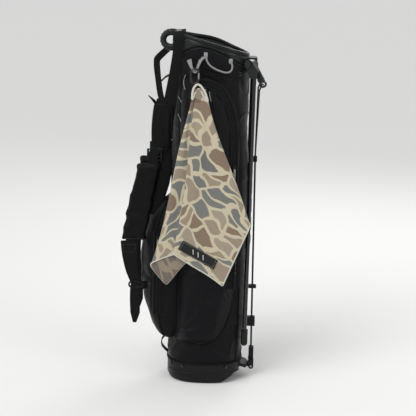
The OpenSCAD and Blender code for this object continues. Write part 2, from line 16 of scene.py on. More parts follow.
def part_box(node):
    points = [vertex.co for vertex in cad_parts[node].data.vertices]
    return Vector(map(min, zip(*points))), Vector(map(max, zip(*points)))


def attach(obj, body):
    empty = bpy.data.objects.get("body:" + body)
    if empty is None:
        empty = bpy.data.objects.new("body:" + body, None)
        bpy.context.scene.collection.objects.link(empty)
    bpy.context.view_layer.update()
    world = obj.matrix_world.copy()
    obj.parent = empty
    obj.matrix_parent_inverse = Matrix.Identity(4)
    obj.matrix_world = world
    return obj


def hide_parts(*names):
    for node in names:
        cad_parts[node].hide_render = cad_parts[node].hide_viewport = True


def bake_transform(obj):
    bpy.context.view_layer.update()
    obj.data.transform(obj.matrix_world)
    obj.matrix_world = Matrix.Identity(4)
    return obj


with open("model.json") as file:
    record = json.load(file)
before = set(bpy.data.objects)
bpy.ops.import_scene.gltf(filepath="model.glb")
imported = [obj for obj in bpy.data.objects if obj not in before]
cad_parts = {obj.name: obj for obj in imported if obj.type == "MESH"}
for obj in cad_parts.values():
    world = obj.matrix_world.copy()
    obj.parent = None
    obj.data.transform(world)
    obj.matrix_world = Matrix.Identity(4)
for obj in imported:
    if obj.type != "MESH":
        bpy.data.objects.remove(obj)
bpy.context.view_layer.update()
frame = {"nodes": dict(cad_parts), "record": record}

# %% [markdown]
# ## Sizes
# All lengths are in millimetres until a mesh is made. The tube, the pockets and the collar are
# rounded ovals of exponent 2.5, and the rim lies in a plane that falls towards the legs.

# %% Sizes
BODY_A, BODY_B = 93.0, 88.0
COLLAR_A, COLLAR_B = 91.0, 87.0
SKIN_TOP, COLLAR_TOP, RIM_TOP = 798.0, 841.0, 848.0
SLOPE = math.tan(math.radians(15.6))
BULGE = 24.0
ROUND = 2.5
TAU = 2 * math.pi


def oval(a, b, t):
    """Rounded oval: (a sgn(cos t)|cos t|^(2/2.5), b sgn(sin t)|sin t|^(2/2.5))."""
    c, s = np.cos(t), np.sin(t)
    return a * np.sign(c) * np.abs(c) ** (2 / ROUND), b * np.sign(s) * np.abs(s) ** (2 / ROUND)


def side_y(a, b, x):
    """Half depth of the oval at x: b (1 - |x/a|^2.5)^(1/2.5)."""
    return b * (1 - np.clip(np.abs(x) / a, 0, 1) ** ROUND) ** (1 / ROUND)


def even_oval(a, b, n):
    """n + 1 points evenly spaced round the oval, the last on the first, as x, y and outward unit normal."""
    t = np.linspace(0, TAU, 4001)
    x, y = oval(a, b, t)
    s = np.r_[0, np.cumsum(np.hypot(np.diff(x), np.diff(y)))]
    at = np.linspace(0, s[-1], n + 1)
    x, y = np.interp(at, s, x), np.interp(at, s, y)
    nx = np.sign(x) * np.abs(x / a) ** (ROUND - 1) / a
    ny = np.sign(y) * np.abs(y / b) ** (ROUND - 1) / b
    h = np.hypot(nx, ny)
    return x, y, nx / h, ny / h


def smooth(t):
    """Smoothstep: 3t^2 - 2t^3 for t held between 0 and 1."""
    t = np.clip(t, 0, 1)
    return t * t * (3 - 2 * t)


def at_xyz(x, y, z):
    """Points from three arrays (or numbers) that broadcast together."""
    return np.stack(np.broadcast_arrays(x, y, z), -1)


def spline(points, n, closed=False):
    """Catmull-Rom curve through the points, as n samples evenly spaced along its length."""
    p = np.asarray(points, float)
    if closed:
        p = np.vstack([p[-1], p, p[0], p[1]])
    else:
        p = np.vstack([2 * p[0] - p[1], p, 2 * p[-1] - p[-2]])
    k = len(p) - 3
    t = np.linspace(0, k, 40 * k + 1)
    i = np.minimum(t.astype(int), k - 1)
    f = (t - i)[:, None]
    a, b, c, d = p[i], p[i + 1], p[i + 2], p[i + 3]
    q = 0.5 * (2 * b + (c - a) * f + (2 * a - 5 * b + 4 * c - d) * f**2 + (3 * b - a - 3 * c + d) * f**3)
    s = np.r_[0, np.cumsum(np.linalg.norm(np.diff(q, axis=0), axis=1))]
    at = np.linspace(0, s[-1], n)
    return np.stack([np.interp(at, s, q[:, j]) for j in range(q.shape[1])], 1)


def ripple(x, z, seed, wave, n=6):
    """Sum of n cosine waves of about that length with random headings, each bent by a slower wave."""
    rng = np.random.default_rng(seed)
    out = np.zeros(np.broadcast(x, z).shape)
    for _ in range(n):
        h = rng.uniform(0, math.pi)
        w = wave * rng.uniform(0.7, 1.5)
        p, q = rng.uniform(0, TAU, 2)
        bend = 1.3 * np.sin(TAU * (x * math.sin(h) - z * math.cos(h)) / (2.7 * w) + q)
        out += np.cos(TAU * (x * math.cos(h) + z * math.sin(h)) / w + p + bend)
    return out / math.sqrt(n)


def crease(x, z, seed, wave, width=0.3):
    """Thin ridges where ripple() passes through zero: exp(-(ripple/width)^2)."""
    return np.exp(-((ripple(x, z, seed, wave, 4) / width) ** 2))


def fold_fan(x, z, cx, cz, heading, spread, count, reach):
    """Folds that fan out from a tight point: cos(count angle) inside a cone, dying away with distance."""
    dx, dz = x - cx, z - cz
    r = np.hypot(dx, dz)
    off = (np.degrees(np.arctan2(dz, dx)) - heading + 180) % 360 - 180
    gate = np.exp(-((off / spread) ** 2)) * smooth(r / 14) * np.exp(-r / reach)
    return np.cos(np.radians(off) * count) * gate


print("sizes ready")

# %% [markdown]
# ## From arrays to pieces
# A surface is an array of points P(i, j). Its seam and poles are welded, its normals are made to
# face out, and its UV map holds real metres, so that a weave keeps its scale on every piece.

# %% Mesh helpers
END_TAPER = 0.94


def lengths(P, axis):
    """Mean distance run along one axis of the grid, in millimetres."""
    d = np.linalg.norm(np.diff(P, axis=axis), axis=2).mean(axis=1 - axis)
    return np.r_[0, np.cumsum(d)]


def weld(me, away=None):
    """Merges doubled points and makes normals face out, away from the line (x, y) for an open surface."""
    bm = bmesh.new()
    bm.from_mesh(me)
    bmesh.ops.remove_doubles(bm, verts=bm.verts, dist=4e-6)
    bmesh.ops.dissolve_degenerate(bm, edges=bm.edges, dist=1e-7)
    bmesh.ops.recalc_face_normals(bm, faces=bm.faces)
    if away is not None:
        ref = np.array([*away, 0.0][:3]) / 1000
        c = np.array([f.calc_center_median() for f in bm.faces]) - ref
        nrm = np.array([f.normal for f in bm.faces])
        area = np.array([f.calc_area() for f in bm.faces])
        if len(away) == 2:
            c[:, 2] = 0
        if float((np.einsum("ij,ij->i", c, nrm) * area).sum()) < 0:
            bmesh.ops.reverse_faces(bm, faces=bm.faces)
    bm.to_mesh(me)
    bm.free()


def add_object(name, data):
    """New object in the scene."""
    ob = bpy.data.objects.new(name, data)
    bpy.context.scene.collection.objects.link(ob)
    return ob


def mesh_from(name, verts, faces, uv=None, away=None):
    """Object from points in millimetres and faces of four, with smooth shading."""
    me = bpy.data.meshes.new(name)
    me.from_pydata((np.asarray(verts) / 1000).tolist(), [], faces)
    if uv is not None:
        idx = np.empty(len(me.loops), int)
        me.loops.foreach_get("vertex_index", idx)
        layer = me.uv_layers.new(name="UVMap")
        layer.data.foreach_set("uv", (np.asarray(uv)[idx] / 1000).ravel())
    weld(me, away)
    me.shade_smooth()
    return add_object(name, me)


def grid(name, P, away=(0, 0), caps=False, uv=None):
    """Surface through an array of points (n, m, 3). away=None is for a closed solid."""
    n, m = P.shape[:2]
    i, j = np.meshgrid(np.arange(n - 1), np.arange(m - 1), indexing="ij")
    k = (i * m + j).ravel()
    faces = np.stack([k, k + 1, k + m + 1, k + m], 1).tolist()
    if caps:
        faces += [list(range(m - 1)), list(range((n - 1) * m, n * m - 1))]
    if uv is None:
        u, v = np.meshgrid(lengths(P, 0), lengths(P, 1), indexing="ij")
        uv = np.stack([v, u], 2)
    return mesh_from(name, P.reshape(-1, 3), faces, uv.reshape(-1, 2), away)


def unit(v):
    """Vectors of length one."""
    return v / np.maximum(np.linalg.norm(v, axis=-1, keepdims=True), 1e-9)


def sweep(name, path, profile, up, ends=0, loop=False):
    """Profile carried along a path: P(i, j) = path_i + x_j side_i + y_j normal_i, rounded over the last few steps."""
    path = np.asarray(path, float)
    t = unit(np.gradient(path, axis=0))
    if loop:
        t[0] = t[-1] = unit(path[1] - path[-2])
    side = unit(np.cross(t, np.broadcast_to(up, path.shape)))
    nrm = np.cross(side, t)
    prof = np.asarray(profile, float)
    if prof.ndim == 2:
        prof = np.broadcast_to(prof, (len(path), *prof.shape))
    grow = np.ones(len(path))
    if ends:
        e = (np.arange(ends) + 0.35) / ends
        grow[:ends] = np.sqrt(1 - (1 - e) ** 2)
        grow[-ends:] = grow[:ends][::-1]
    prof = np.concatenate([prof, prof[:, :1]], 1) * grow[:, None, None]
    P = path[:, None] + prof[..., :1] * side[:, None] + prof[..., 1:] * nrm[:, None]
    return grid(name, P, away=None, caps=not loop)


def round_profile(w, h, n=16, power=2.0):
    """Closed superellipse of width w and height h."""
    t = np.arange(n) * TAU / n
    c, s = np.cos(t), np.sin(t)
    e = 2 / power
    return np.stack([w / 2 * np.sign(c) * np.abs(c) ** e, h / 2 * np.sign(s) * np.abs(s) ** e], 1)


def changing_profile(w, h, n, power):
    """Superellipse whose width and height change along the path: (steps, n, 2)."""
    shape = round_profile(1, 1, n, power)
    return np.stack([shape[:, 0] * np.c_[w], shape[:, 1] * np.c_[h]], 2)


def ribbon(name, points, side, width, thick, n=90, ends=2, bow=0.0):
    """Webbing: a thin rounded strip along the points. side is the direction of its width, width a number or (n,)."""
    path = spline(points, n)
    t = unit(np.gradient(path, axis=0))
    side = np.asarray(side, float)
    side = unit(side - (side * t).sum(1, keepdims=True) * t)
    nrm = np.cross(t, side)
    width = np.atleast_1d(width)
    w = np.interp(np.linspace(0, 1, n), np.linspace(0, 1, len(width)), width)
    w[:ends] *= END_TAPER
    w[-ends:] *= END_TAPER
    across, up = round_profile(1, 1, 28, 8.0).T
    px = across * w[:, None]
    py = up * thick + bow * (1 - 4 * across**2) + 0 * px
    P = path[:, None] + px[..., None] * side[:, None] + py[..., None] * nrm[:, None]
    return grid(name, np.concatenate([P, P[:, :1]], 1), away=None, caps=True)


def repeat(name, verts, faces, at, tangent, normal):
    """Copies of a small shape: vertex k of copy i is at_i + x_k t_i + y_k (n_i x t_i) + z_k n_i."""
    t = unit(tangent)
    n = unit(normal - (normal * t).sum(1, keepdims=True) * t)
    s = np.cross(n, t)
    x, y, z = (verts[None, :, k : k + 1] for k in range(3))
    P = at[:, None] + x * t[:, None] + y * s[:, None] + z * n[:, None]
    F = np.asarray(faces)[None] + (np.arange(len(at)) * len(verts))[:, None, None]
    return mesh_from(name, P.reshape(-1, 3), F.reshape(-1, 4).tolist())


def pill(length, width, height):
    """Small rounded bar along X: five rings of six points, the end rings small."""
    x = np.array([-0.5, -0.4, 0.0, 0.4, 0.5]) * length
    g = np.array([0.35, 0.85, 1.0, 0.85, 0.35])
    t = np.arange(6) * TAU / 6
    v = np.stack([np.repeat(x, 6), np.outer(g, np.cos(t)).ravel() * width / 2,
                  np.outer(g, np.sin(t)).ravel() * height / 2], 1)
    f = [[i * 6 + j, i * 6 + (j + 1) % 6, i * 6 + 6 + (j + 1) % 6,
          i * 6 + 6 + j] for i in range(4) for j in range(6)]
    f += [[5, 4, 1, 0], [4, 3, 2, 1], [24, 25, 28, 29], [25, 26, 27, 28]]
    return v, f


def stitches(name, path, normal, pitch=3.4, length=2.5, d=0.7):
    """A row of thread stitches along a path of points."""
    total = np.linalg.norm(np.diff(path, axis=0), axis=1).sum()
    n = max(int(total / pitch), 2)
    at = spline(path[:: max(len(path) // 40, 1)], n)
    nrm = np.asarray(normal, float)
    if nrm.ndim == 2:
        nrm = np.stack([np.interp(np.linspace(0, 1, n), np.linspace(0, 1, len(nrm)),
                                  nrm[:, j]) for j in range(3)], 1)
    nrm = np.broadcast_to(nrm, at.shape)
    v, f = pill(length, d, d * 0.8)
    return repeat(name, v, f, at, np.gradient(at, axis=0), nrm)


def put(ob, body, slot, *nodes, solid=0.0, offset=-1.0, subsurf=0):
    """Gives a finished piece its thickness, subdivision and material (the one named by slot), puts it on its body and
    hides the CAD nodes that it stands for.

    body is a name, or a tuple (first body, second body, start, end) whose values are not used: such a piece is only
    baked in place and put on no body.
    """
    if solid:
        m = ob.modifiers.new("thickness", "SOLIDIFY")
        m.thickness = solid / 1000
        m.offset = offset
        m.use_even_offset = False
    if subsurf:
        m = ob.modifiers.new("finish", "SUBSURF")
        m.levels = m.render_levels = subsurf
    if not ob.data.materials:
        ob.data.materials.append(MATS[slot])
    if isinstance(body, tuple):
        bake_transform(ob)
    else:
        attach(ob, body)
    if nodes:
        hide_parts(*nodes)
    return ob


print("helpers ready")

# %% [markdown]
# ## Shader groups
# Each real finish is a few simple effects laid over one another: a weave, a fine grain, soft
# wrinkles and settled dust. Each effect is one group with named inputs, so several materials share it.

# %% Shader groups
def add(tree, kind, put_in=None, **attrs):
    """Adds a node, sets its attributes, and sets or links its inputs."""
    nd = tree.nodes.new(kind)
    for k, v in attrs.items():
        setattr(nd, k, v)
    for k, v in (put_in or {}).items():
        if isinstance(v, bpy.types.NodeSocket):
            tree.links.new(v, nd.inputs[k])
        else:
            nd.inputs[k].default_value = v
    return nd


def calc(tree, op, a, b=0.0, c=0.0):
    """One Math node, as its output."""
    return add(tree, "ShaderNodeMath", {0: a, 1: b, 2: c}, operation=op).outputs[0]


def new_group(name, inputs, outputs):
    """Empty shader group with its sockets: (tree, inputs, outputs)."""
    g = bpy.data.node_groups.new(name, "ShaderNodeTree")
    for label, kind, default in inputs:
        s = g.interface.new_socket(label, in_out="INPUT", socket_type="NodeSocket" + kind)
        if default is not None:
            s.default_value = default
    for label, kind in outputs:
        g.interface.new_socket(label, in_out="OUTPUT", socket_type="NodeSocket" + kind)
    return g, g.nodes.new("NodeGroupInput").outputs, g.nodes.new("NodeGroupOutput").inputs


WEAVE, gi, go = new_group("plain_weave", [("Vector", "Vector", None), ("Pitch", "Float", 0.001)],
                          [("Height", "Float"), ("Tone", "Float")])
xyz = add(WEAVE, "ShaderNodeSeparateXYZ", {0: gi["Vector"]}).outputs
turns = [calc(WEAVE, "DIVIDE", calc(WEAVE, "MULTIPLY", xyz[k], math.pi), gi["Pitch"]) for k in (0, 1)]
cross = calc(WEAVE, "MULTIPLY", calc(WEAVE, "SINE", turns[0]), calc(WEAVE, "SINE", turns[1]))
WEAVE.links.new(calc(WEAVE, "MULTIPLY_ADD", cross, 0.5, 0.5), go["Height"])
WEAVE.links.new(calc(WEAVE, "MULTIPLY_ADD", calc(WEAVE, "ABSOLUTE", cross), 0.3, 0.7), go["Tone"])

GRAIN, gi, go = new_group("fine_grain", [("Vector", "Vector", None), ("Scale", "Float", 900.0)],
                          [("Height", "Float"), ("Tone", "Float")])
fine = add(GRAIN, "ShaderNodeTexNoise", {"Vector": gi["Vector"], "Scale": gi["Scale"], "Detail": 3.0})
broad = add(GRAIN, "ShaderNodeTexNoise", {"Vector": gi["Vector"], "Scale": 14.0, "Detail": 4.0})
GRAIN.links.new(fine.outputs[0], go["Height"])
GRAIN.links.new(broad.outputs[0], go["Tone"])

CRINKLE, gi, go = new_group("crinkle", [("Vector", "Vector", None), ("Scale", "Float", 26.0)],
                            [("Height", "Float")])
warp = add(CRINKLE, "ShaderNodeTexNoise", {"Vector": gi["Vector"], "Scale": gi["Scale"], "Detail": 3.0,
                                           "Roughness": 0.45, "Distortion": 1.1})
ridge = calc(CRINKLE, "ABSOLUTE", calc(CRINKLE, "SUBTRACT", warp.outputs[0], 0.5))
CRINKLE.links.new(calc(CRINKLE, "SUBTRACT", 0.5, ridge), go["Height"])

DUST, gi, go = new_group("settled_dust", [("Vector", "Vector", None), ("Amount", "Float", 0.1)],
                         [("Mask", "Float")])
speck = add(DUST, "ShaderNodeTexNoise",
            {"Vector": gi["Vector"], "Scale": 60.0, "Detail": 6.0, "Roughness": 0.7})
up = add(DUST, "ShaderNodeSeparateXYZ", {0: add(DUST, "ShaderNodeNewGeometry").outputs["Normal"]}).outputs[2]
facing = calc(DUST, "MULTIPLY_ADD", up, 0.5, 0.5)
mask = calc(DUST, "MULTIPLY", calc(DUST, "MULTIPLY", speck.outputs[0], facing), gi["Amount"])
DUST.links.new(mask, go["Mask"])

PRINT, gi, go = new_group("towel_print", [("Vector", "Vector", None)], [("Color", "Color")])
noise = add(PRINT, "ShaderNodeTexNoise", {"Vector": gi["Vector"], "Scale": 13.0, "Detail": 1.0})
off = add(PRINT, "ShaderNodeVectorMath", {0: noise.outputs["Color"], 1: (0.5, 0.5, 0.5)},
          operation="SUBTRACT")
off = add(PRINT, "ShaderNodeVectorMath", {0: off.outputs[0], "Scale": 0.095}, operation="SCALE")
bent = add(PRINT, "ShaderNodeVectorMath", {0: gi["Vector"], 1: off.outputs[0]}, operation="ADD")
turn = add(PRINT, "ShaderNodeMapping", {"Vector": bent.outputs[0], "Rotation": (0, 0, math.radians(58)),
                                        "Scale": (17.5, 33.0, 1.0)})
edge = add(PRINT, "ShaderNodeTexVoronoi", {"Vector": turn.outputs[0], "Scale": 1.0},
           feature="DISTANCE_TO_EDGE",
           voronoi_dimensions="2D")
cell = add(PRINT, "ShaderNodeTexVoronoi", {"Vector": turn.outputs[0], "Scale": 1.0}, voronoi_dimensions="2D")
pick = add(PRINT, "ShaderNodeSeparateColor", {0: cell.outputs["Color"]}).outputs[0]
ramp = add(PRINT, "ShaderNodeValToRGB", {0: pick})
ramp.color_ramp.interpolation = "CONSTANT"
TONES = [(0.0, (0.270, 0.215, 0.155)), (0.22, (0.145, 0.147, 0.137)), (0.43, (0.195, 0.138, 0.092)),
         (0.62, (0.155, 0.156, 0.145)), (0.84, (0.300, 0.250, 0.185)), (0.95, (0.125, 0.125, 0.117))]
for _ in TONES[2:]:
    ramp.color_ramp.elements.new(0.5)
for spot, (at, tone) in zip(ramp.color_ramp.elements, TONES):
    spot.position, spot.color = at, (*tone, 1)
patchy = add(PRINT, "ShaderNodeTexNoise", {"Vector": gi["Vector"], "Scale": 34.0, "Detail": 1.0})
width = add(PRINT, "ShaderNodeMapRange", {"Value": patchy.outputs[0], "From Min": 0.35, "From Max": 0.68,
                                          "To Min": 0.075, "To Max": 0.125})
inside = calc(PRINT, "SUBTRACT", edge.outputs["Distance"], width.outputs[0])
line = add(PRINT, "ShaderNodeMapRange", {"Value": inside, "From Min": 0.0, "From Max": 0.035})
mix = add(PRINT, "ShaderNodeMix",
          {"Factor": line.outputs[0], 6: (0.490, 0.435, 0.310, 1), 7: ramp.outputs[0]},
          data_type="RGBA")
PRINT.links.new(mix.outputs[2], go["Color"])
print("groups", [g.name for g in bpy.data.node_groups])

# %% [markdown]
# ## Materials
# One material for each finish in the record. Coated nylon is black with a soft sheen and small
# wrinkles, webbing shows its weave, mouldings have a fine grain, and metal is satin.

# %% Materials
MATS = {}
SIDES = ((-1, "near"), (1, "far"))
GREY = (0.20, 0.20, 0.195)


def shader(name, color, rough, metal=0.0, coat=0.0, sheen=0.0, spec=0.5):
    """Principled material with its constants set on the shader: (tree, shader node). MATS holds it by name."""
    MATS[name] = mat = bpy.data.materials.new(name)
    mat.use_nodes = True
    tree = mat.node_tree
    bs = tree.nodes["Principled BSDF"]
    constants = {"Base Color": (*color, 1), "Roughness": rough, "Metallic": metal, "Coat Weight": coat,
                 "Sheen Weight": sheen, "Specular IOR Level": spec}
    for socket, value in constants.items():
        bs.inputs[socket].default_value = value
    return tree, bs


def use(tree, group, **values):
    """Adds a shader group node with its inputs set, as its outputs."""
    return add(tree, "ShaderNodeGroup", values, node_tree=group).outputs


def bump(tree, bs, layers):
    """Lays heights over one another: each is (socket, depth in metres, strength)."""
    last = None
    for height, depth, strength in layers:
        put_in = {"Height": height, "Distance": depth, "Strength": strength}
        if last is not None:
            put_in["Normal"] = last
        last = add(tree, "ShaderNodeBump", put_in).outputs[0]
    tree.links.new(last, bs.inputs["Normal"])


def tint(tree, bs, base, second, factor):
    """Base colour from two colours and a mask."""
    m = add(tree, "ShaderNodeMix", {"Factor": factor, 6: (*base, 1), 7: (*second, 1)}, data_type="RGBA")
    tree.links.new(m.outputs[2], bs.inputs["Base Color"])


def cloth_mat(name, color, rough, pitch, crinkle=0.0, sheen=0.004, uv=True, weave_depth=0.00025, spec=0.35,
              second=GREY):
    """Woven fabric: weave height, soft crinkles and a little dust."""
    tree, bs = shader(name, color, rough, sheen=sheen, spec=spec)
    co = add(tree, "ShaderNodeTexCoord").outputs
    where = co["UV"] if uv else co["Object"]
    w = use(tree, WEAVE, Vector=where, Pitch=pitch)
    d = use(tree, DUST, Vector=co["Object"], Amount=0.012)
    tint(tree, bs, color, second, d["Mask"])
    layers = [(w["Height"], weave_depth, 0.6)]
    if crinkle:
        layers.append((use(tree, CRINKLE, Vector=co["Object"], Scale=24.0)["Height"], crinkle, 0.55))
    bump(tree, bs, layers)


def hard_mat(name, color, rough, metal=0.0, coat=0.0, grain=0.00008, second=GREY):
    """Moulding or metal: fine grain, slight change of tone and roughness, a little dust."""
    tree, bs = shader(name, color, rough, metal, coat, spec=0.5 if metal else 0.17)
    co = add(tree, "ShaderNodeTexCoord").outputs["Object"]
    g = use(tree, GRAIN, Vector=co, Scale=1400.0)
    d = use(tree, DUST, Vector=co, Amount=0.02)
    tint(tree, bs, color, second, d["Mask"])
    r = add(tree, "ShaderNodeMapRange",
            {"Value": g["Tone"], "To Min": rough * 0.82, "To Max": min(rough * 1.2, 1)})
    tree.links.new(r.outputs[0], bs.inputs["Roughness"])
    bump(tree, bs, [(g["Height"], grain, 0.5)])


hard_mat("cup_plastic", (0.0060, 0.0060, 0.0064), 0.38, grain=0.00014)
hard_mat("collar_plastic", (0.0125, 0.0145, 0.0140), 0.26, coat=0.1)
hard_mat("buckle_plastic", (0.0035, 0.0035, 0.0035), 0.34)
hard_mat("rim_rubber", (0.0080, 0.0092, 0.0088), 0.32)
hard_mat("dark_metal", (0.0060, 0.0060, 0.0065), 0.18, coat=0.6, grain=0.00002)
hard_mat("screw", (0.045, 0.045, 0.046), 0.34, metal=1.0, grain=0.00002, second=(0.04, 0.04, 0.04))
hard_mat("steel", (0.34, 0.34, 0.35), 0.28, metal=1.0, grain=0.00002, second=(0.25, 0.25, 0.25))
hard_mat("stay", (0.05, 0.05, 0.05), 0.5)
hard_mat("zip", (0.0040, 0.0040, 0.0048), 0.28)
cloth_mat("shell_fabric", (0.0030, 0.0031, 0.0040), 0.34, 0.0006, 0.0022, spec=0.11)
cloth_mat("divider_fabric", (0.0060, 0.0060, 0.0066), 0.8, 0.0009, 0.001)
cloth_mat("pad_fabric", (0.0030, 0.0034, 0.0032), 0.5, 0.0011, 0.0012, 0.0, uv=False, spec=0.10)
cloth_mat("webbing", (0.0034, 0.0040, 0.0036), 0.5, 0.0016, 0.0, 0.0, weave_depth=0.0005, spec=0.10)
cloth_mat("grey_webbing", (0.215, 0.21, 0.215), 0.7, 0.0012, sheen=0.1, second=(0.4, 0.4, 0.4))
cloth_mat("label", (0.0030, 0.0030, 0.0030), 0.6, 0.0007)
cloth_mat("thread", (0.045, 0.045, 0.047), 0.6, 0.0005)
cloth_mat("light_thread", (0.33, 0.33, 0.32), 0.6, 0.0005)
cloth_mat("hem", (0.50, 0.485, 0.42), 0.9, 0.0012, weave_depth=0.0004, second=(0.4, 0.4, 0.35))


def towel_mat(name, reverse):
    """Printed waffle cloth. The reverse is the same print mixed towards dark brown, so it is darker than the front."""
    tree, bs = shader(name, (0.4, 0.38, 0.32), 0.92, sheen=0.35)
    uv = add(tree, "ShaderNodeTexCoord").outputs["UV"]
    printed = use(tree, PRINT, Vector=uv)["Color"]
    if reverse:
        brown = {"Factor": 0.68, 6: printed, 7: (0.115, 0.080, 0.060, 1)}
        printed = add(tree, "ShaderNodeMix", brown, data_type="RGBA").outputs[2]
    w = use(tree, WEAVE, Vector=uv, Pitch=0.0034)
    tones = {"Factor": w["Tone"], 6: (0.5, 0.5, 0.5, 1), 7: (1.05, 1.05, 1.05, 1)}
    shade = add(tree, "ShaderNodeMix", tones, data_type="RGBA").outputs[2]
    woven = add(tree, "ShaderNodeMix", {"Factor": 1.0, 6: printed, 7: shade}, data_type="RGBA",
                blend_type="MULTIPLY")
    tree.links.new(woven.outputs[2], bs.inputs["Base Color"])
    g = use(tree, GRAIN, Vector=uv, Scale=1500.0)
    bump(tree, bs, [(w["Height"], 0.0011, 0.7), (g["Height"], 0.0005, 0.5)])


towel_mat("towel_cloth", False)
towel_mat("towel_reverse", True)
print("materials", len(MATS))

# %% [markdown]
# ## Hard pieces
# Tubes, rods, screws and pins are simple turned shapes, so the CAD meshes stay and only take a
# finish. Mouldings have small radii on every edge, so each is a welded copy with a bevel.

# %% Hard pieces
RECORD_SLOT = {s["node"]: s["material_slot"] for s in frame["record"]["subparts"]}
FINISH = {"pivot_screws": "screw", "bracket_screws": "screw", "base_rivets": "screw",
          "handle_screws": "screw",
          "lever_hinge_pin": "screw"}
for label, ob in frame["nodes"].items():
    ob.data.materials.clear()
    ob.data.materials.append(MATS[FINISH.get(label, RECORD_SLOT[label])])
BODY_OF = {n: b for b, names in frame["record"]["behaviour"]["bodies"].items() for n in names}


def cad_copy(label, name, shrink=1.0):
    """Welded copy of a CAD node as a new object, drawn in towards its middle by shrink."""
    cad = frame["nodes"][label].data
    co = np.empty(len(cad.vertices) * 3)
    cad.vertices.foreach_get("co", co)
    co = co.reshape(-1, 3)
    mid = (co.min(0) + co.max(0)) / 2
    me = bpy.data.meshes.new(name)
    me.from_pydata((mid + (co - mid) * shrink).tolist(), [], [tuple(p.vertices) for p in cad.polygons])
    weld(me)
    return add_object(name, me)


def moulded(label, radius):
    """Copy of a CAD node with its flat faces joined and every sharp edge rounded."""
    ob = cad_copy(label, label + "_moulded")
    bm = bmesh.new()
    bm.from_mesh(ob.data)
    bmesh.ops.dissolve_limit(bm, angle_limit=math.radians(0.6), verts=bm.verts, edges=bm.edges)
    bm.to_mesh(ob.data)
    bm.free()
    ob.data.shade_smooth()
    m = ob.modifiers.new("edge radius", "BEVEL")
    m.width, m.segments, m.limit_method, m.angle_limit = radius / 1000, 3, "ANGLE", math.radians(28)
    m.miter_outer = "MITER_ARC"
    m = ob.modifiers.new("even shading", "WEIGHTED_NORMAL")
    m.keep_sharp = True
    put(ob, BODY_OF[label], RECORD_SLOT[label], label)


for label, radius in (("base_cup", 1.6), ("leg_bracket", 2.0), ("leg_knuckle_near", 1.6),
                      ("leg_knuckle_far", 1.6),
                      ("base_lever", 1.4), ("rod_foot", 1.3), ("upper_wire_guide", 1.2),
                      ("lower_wire_guide", 1.6),
                      ("strap_buckle_near", 1.3), ("strap_buckle_far", 1.3), ("rod_sleeve", 0.8)):
    moulded(label, radius)

# %% [markdown]
# ## Collar, rim and divider
# The collar is one satin moulding under a soft rim. Each is a profile carried round the oval, in
# the sloping plane. A fabric cuff comes up over the collar to an arched, piped edge.

# %% Collar and rim
def ring(name, profile):
    """Closed profile (outward, height) carried round the oval: (x + o nx, y + o ny, h - x tan(slope)).

    The far side of the mouth arches up by a few millimetres, which fades out down the collar.
    """
    x, y, nx, ny = (c[:, None] for c in even_oval(COLLAR_A, COLLAR_B, 220))
    o, h = np.vstack([profile, profile[:1]]).T
    hump = 8.5 * np.exp(-(((x - 8) / 50) ** 2)) * smooth((y - 20) / 45)
    px = x + o * nx
    return grid(name, at_xyz(px, y + o * ny, h + hump * smooth((h - 812) / 28) - px * SLOPE), away=None)


collar_profile = spline([(-0.6, SKIN_TOP - 5), (0.2, SKIN_TOP + 2), (0.4, 816), (0.9, 830), (1.0, 838),
                         (0.2, COLLAR_TOP), (-2.5, 842), (-5, 839), (-5.2, 826), (-5.2, 806), (-4.4, 795)],
                        40, closed=True)
put(ring("collar_band", collar_profile[:-1]), "bag", "collar_plastic", "collar")
rim_profile = np.array([-2.6, 845.2]) + round_profile(9.4, 9.6, 26, 2.6)
rim_profile[:, 1] -= 0.55 * np.maximum(rim_profile[:, 0] - 0.5, 0)
put(ring("rim_bead", rim_profile), "bag", "rim_rubber", "rim_trim")
lip = np.array([1.2, 834.5]) + round_profile(1.6, 3.2, 12)
put(ring("collar_ridge", lip), "bag", "collar_plastic")

CUFF_ARCH = spline([(-96, 806), (-88, 812), (-70, 825), (-46, 838), (-22, 841), (10, 832), (40, 818),
                    (64, 804),
                    (80, 796), (96, 792)], 90)


def cuff_top(x):
    """Height of the cuff's arched edge."""
    return np.interp(x, *CUFF_ARCH.T)


x, y, nx, ny = even_oval(COLLAR_A, COLLAR_B, 300)
v = np.linspace(0, 1, 22)[:, None]
arc = np.r_[0, np.cumsum(np.hypot(np.diff(x), np.diff(y)))]
z = (SKIN_TOP - 16 - x * SLOPE) * (1 - v) + cuff_top(x) * v
puff = 2.6 + 1.1 * np.sin(math.pi * v) + 0.45 * ripple(arc, z, 4, 42) * np.sin(math.pi * v)
put(grid("fabric_cuff", at_xyz(x + puff * nx, y + puff * ny, z)), "bag", "shell_fabric", solid=1.4)
cuff_edge = at_xyz(x + 3.4 * nx, y + 3.4 * ny, cuff_top(x))
put(sweep("cuff_piping", cuff_edge, round_profile(3.2, 3.2, 10), (0, 0, 1), loop=True), "bag", "webbing")
seam = at_xyz(x + 3.9 * nx, y + 3.9 * ny, cuff_top(x) - 5.5)
put(stitches("cuff_stitching", seam, at_xyz(nx, ny, 0)), "bag", "thread")

# %% Divider
BAR_MID = 824.0


def bar(name, across, half):
    """Soft-topped bar across the mouth, level with the sloping plane, thicker at its ends."""
    s = np.linspace(-1, 1, 70)
    path = at_xyz(s * half, 0, BAR_MID - s * half * SLOPE) if across else at_xyz(0, s * half, BAR_MID)
    w = 8.6 + 5 * np.abs(s) ** 10
    h = 27 + 1.5 * np.cos(s * TAU)
    return sweep(name, path, changing_profile(w, h, 24, 4.0), (0, 0, 1))


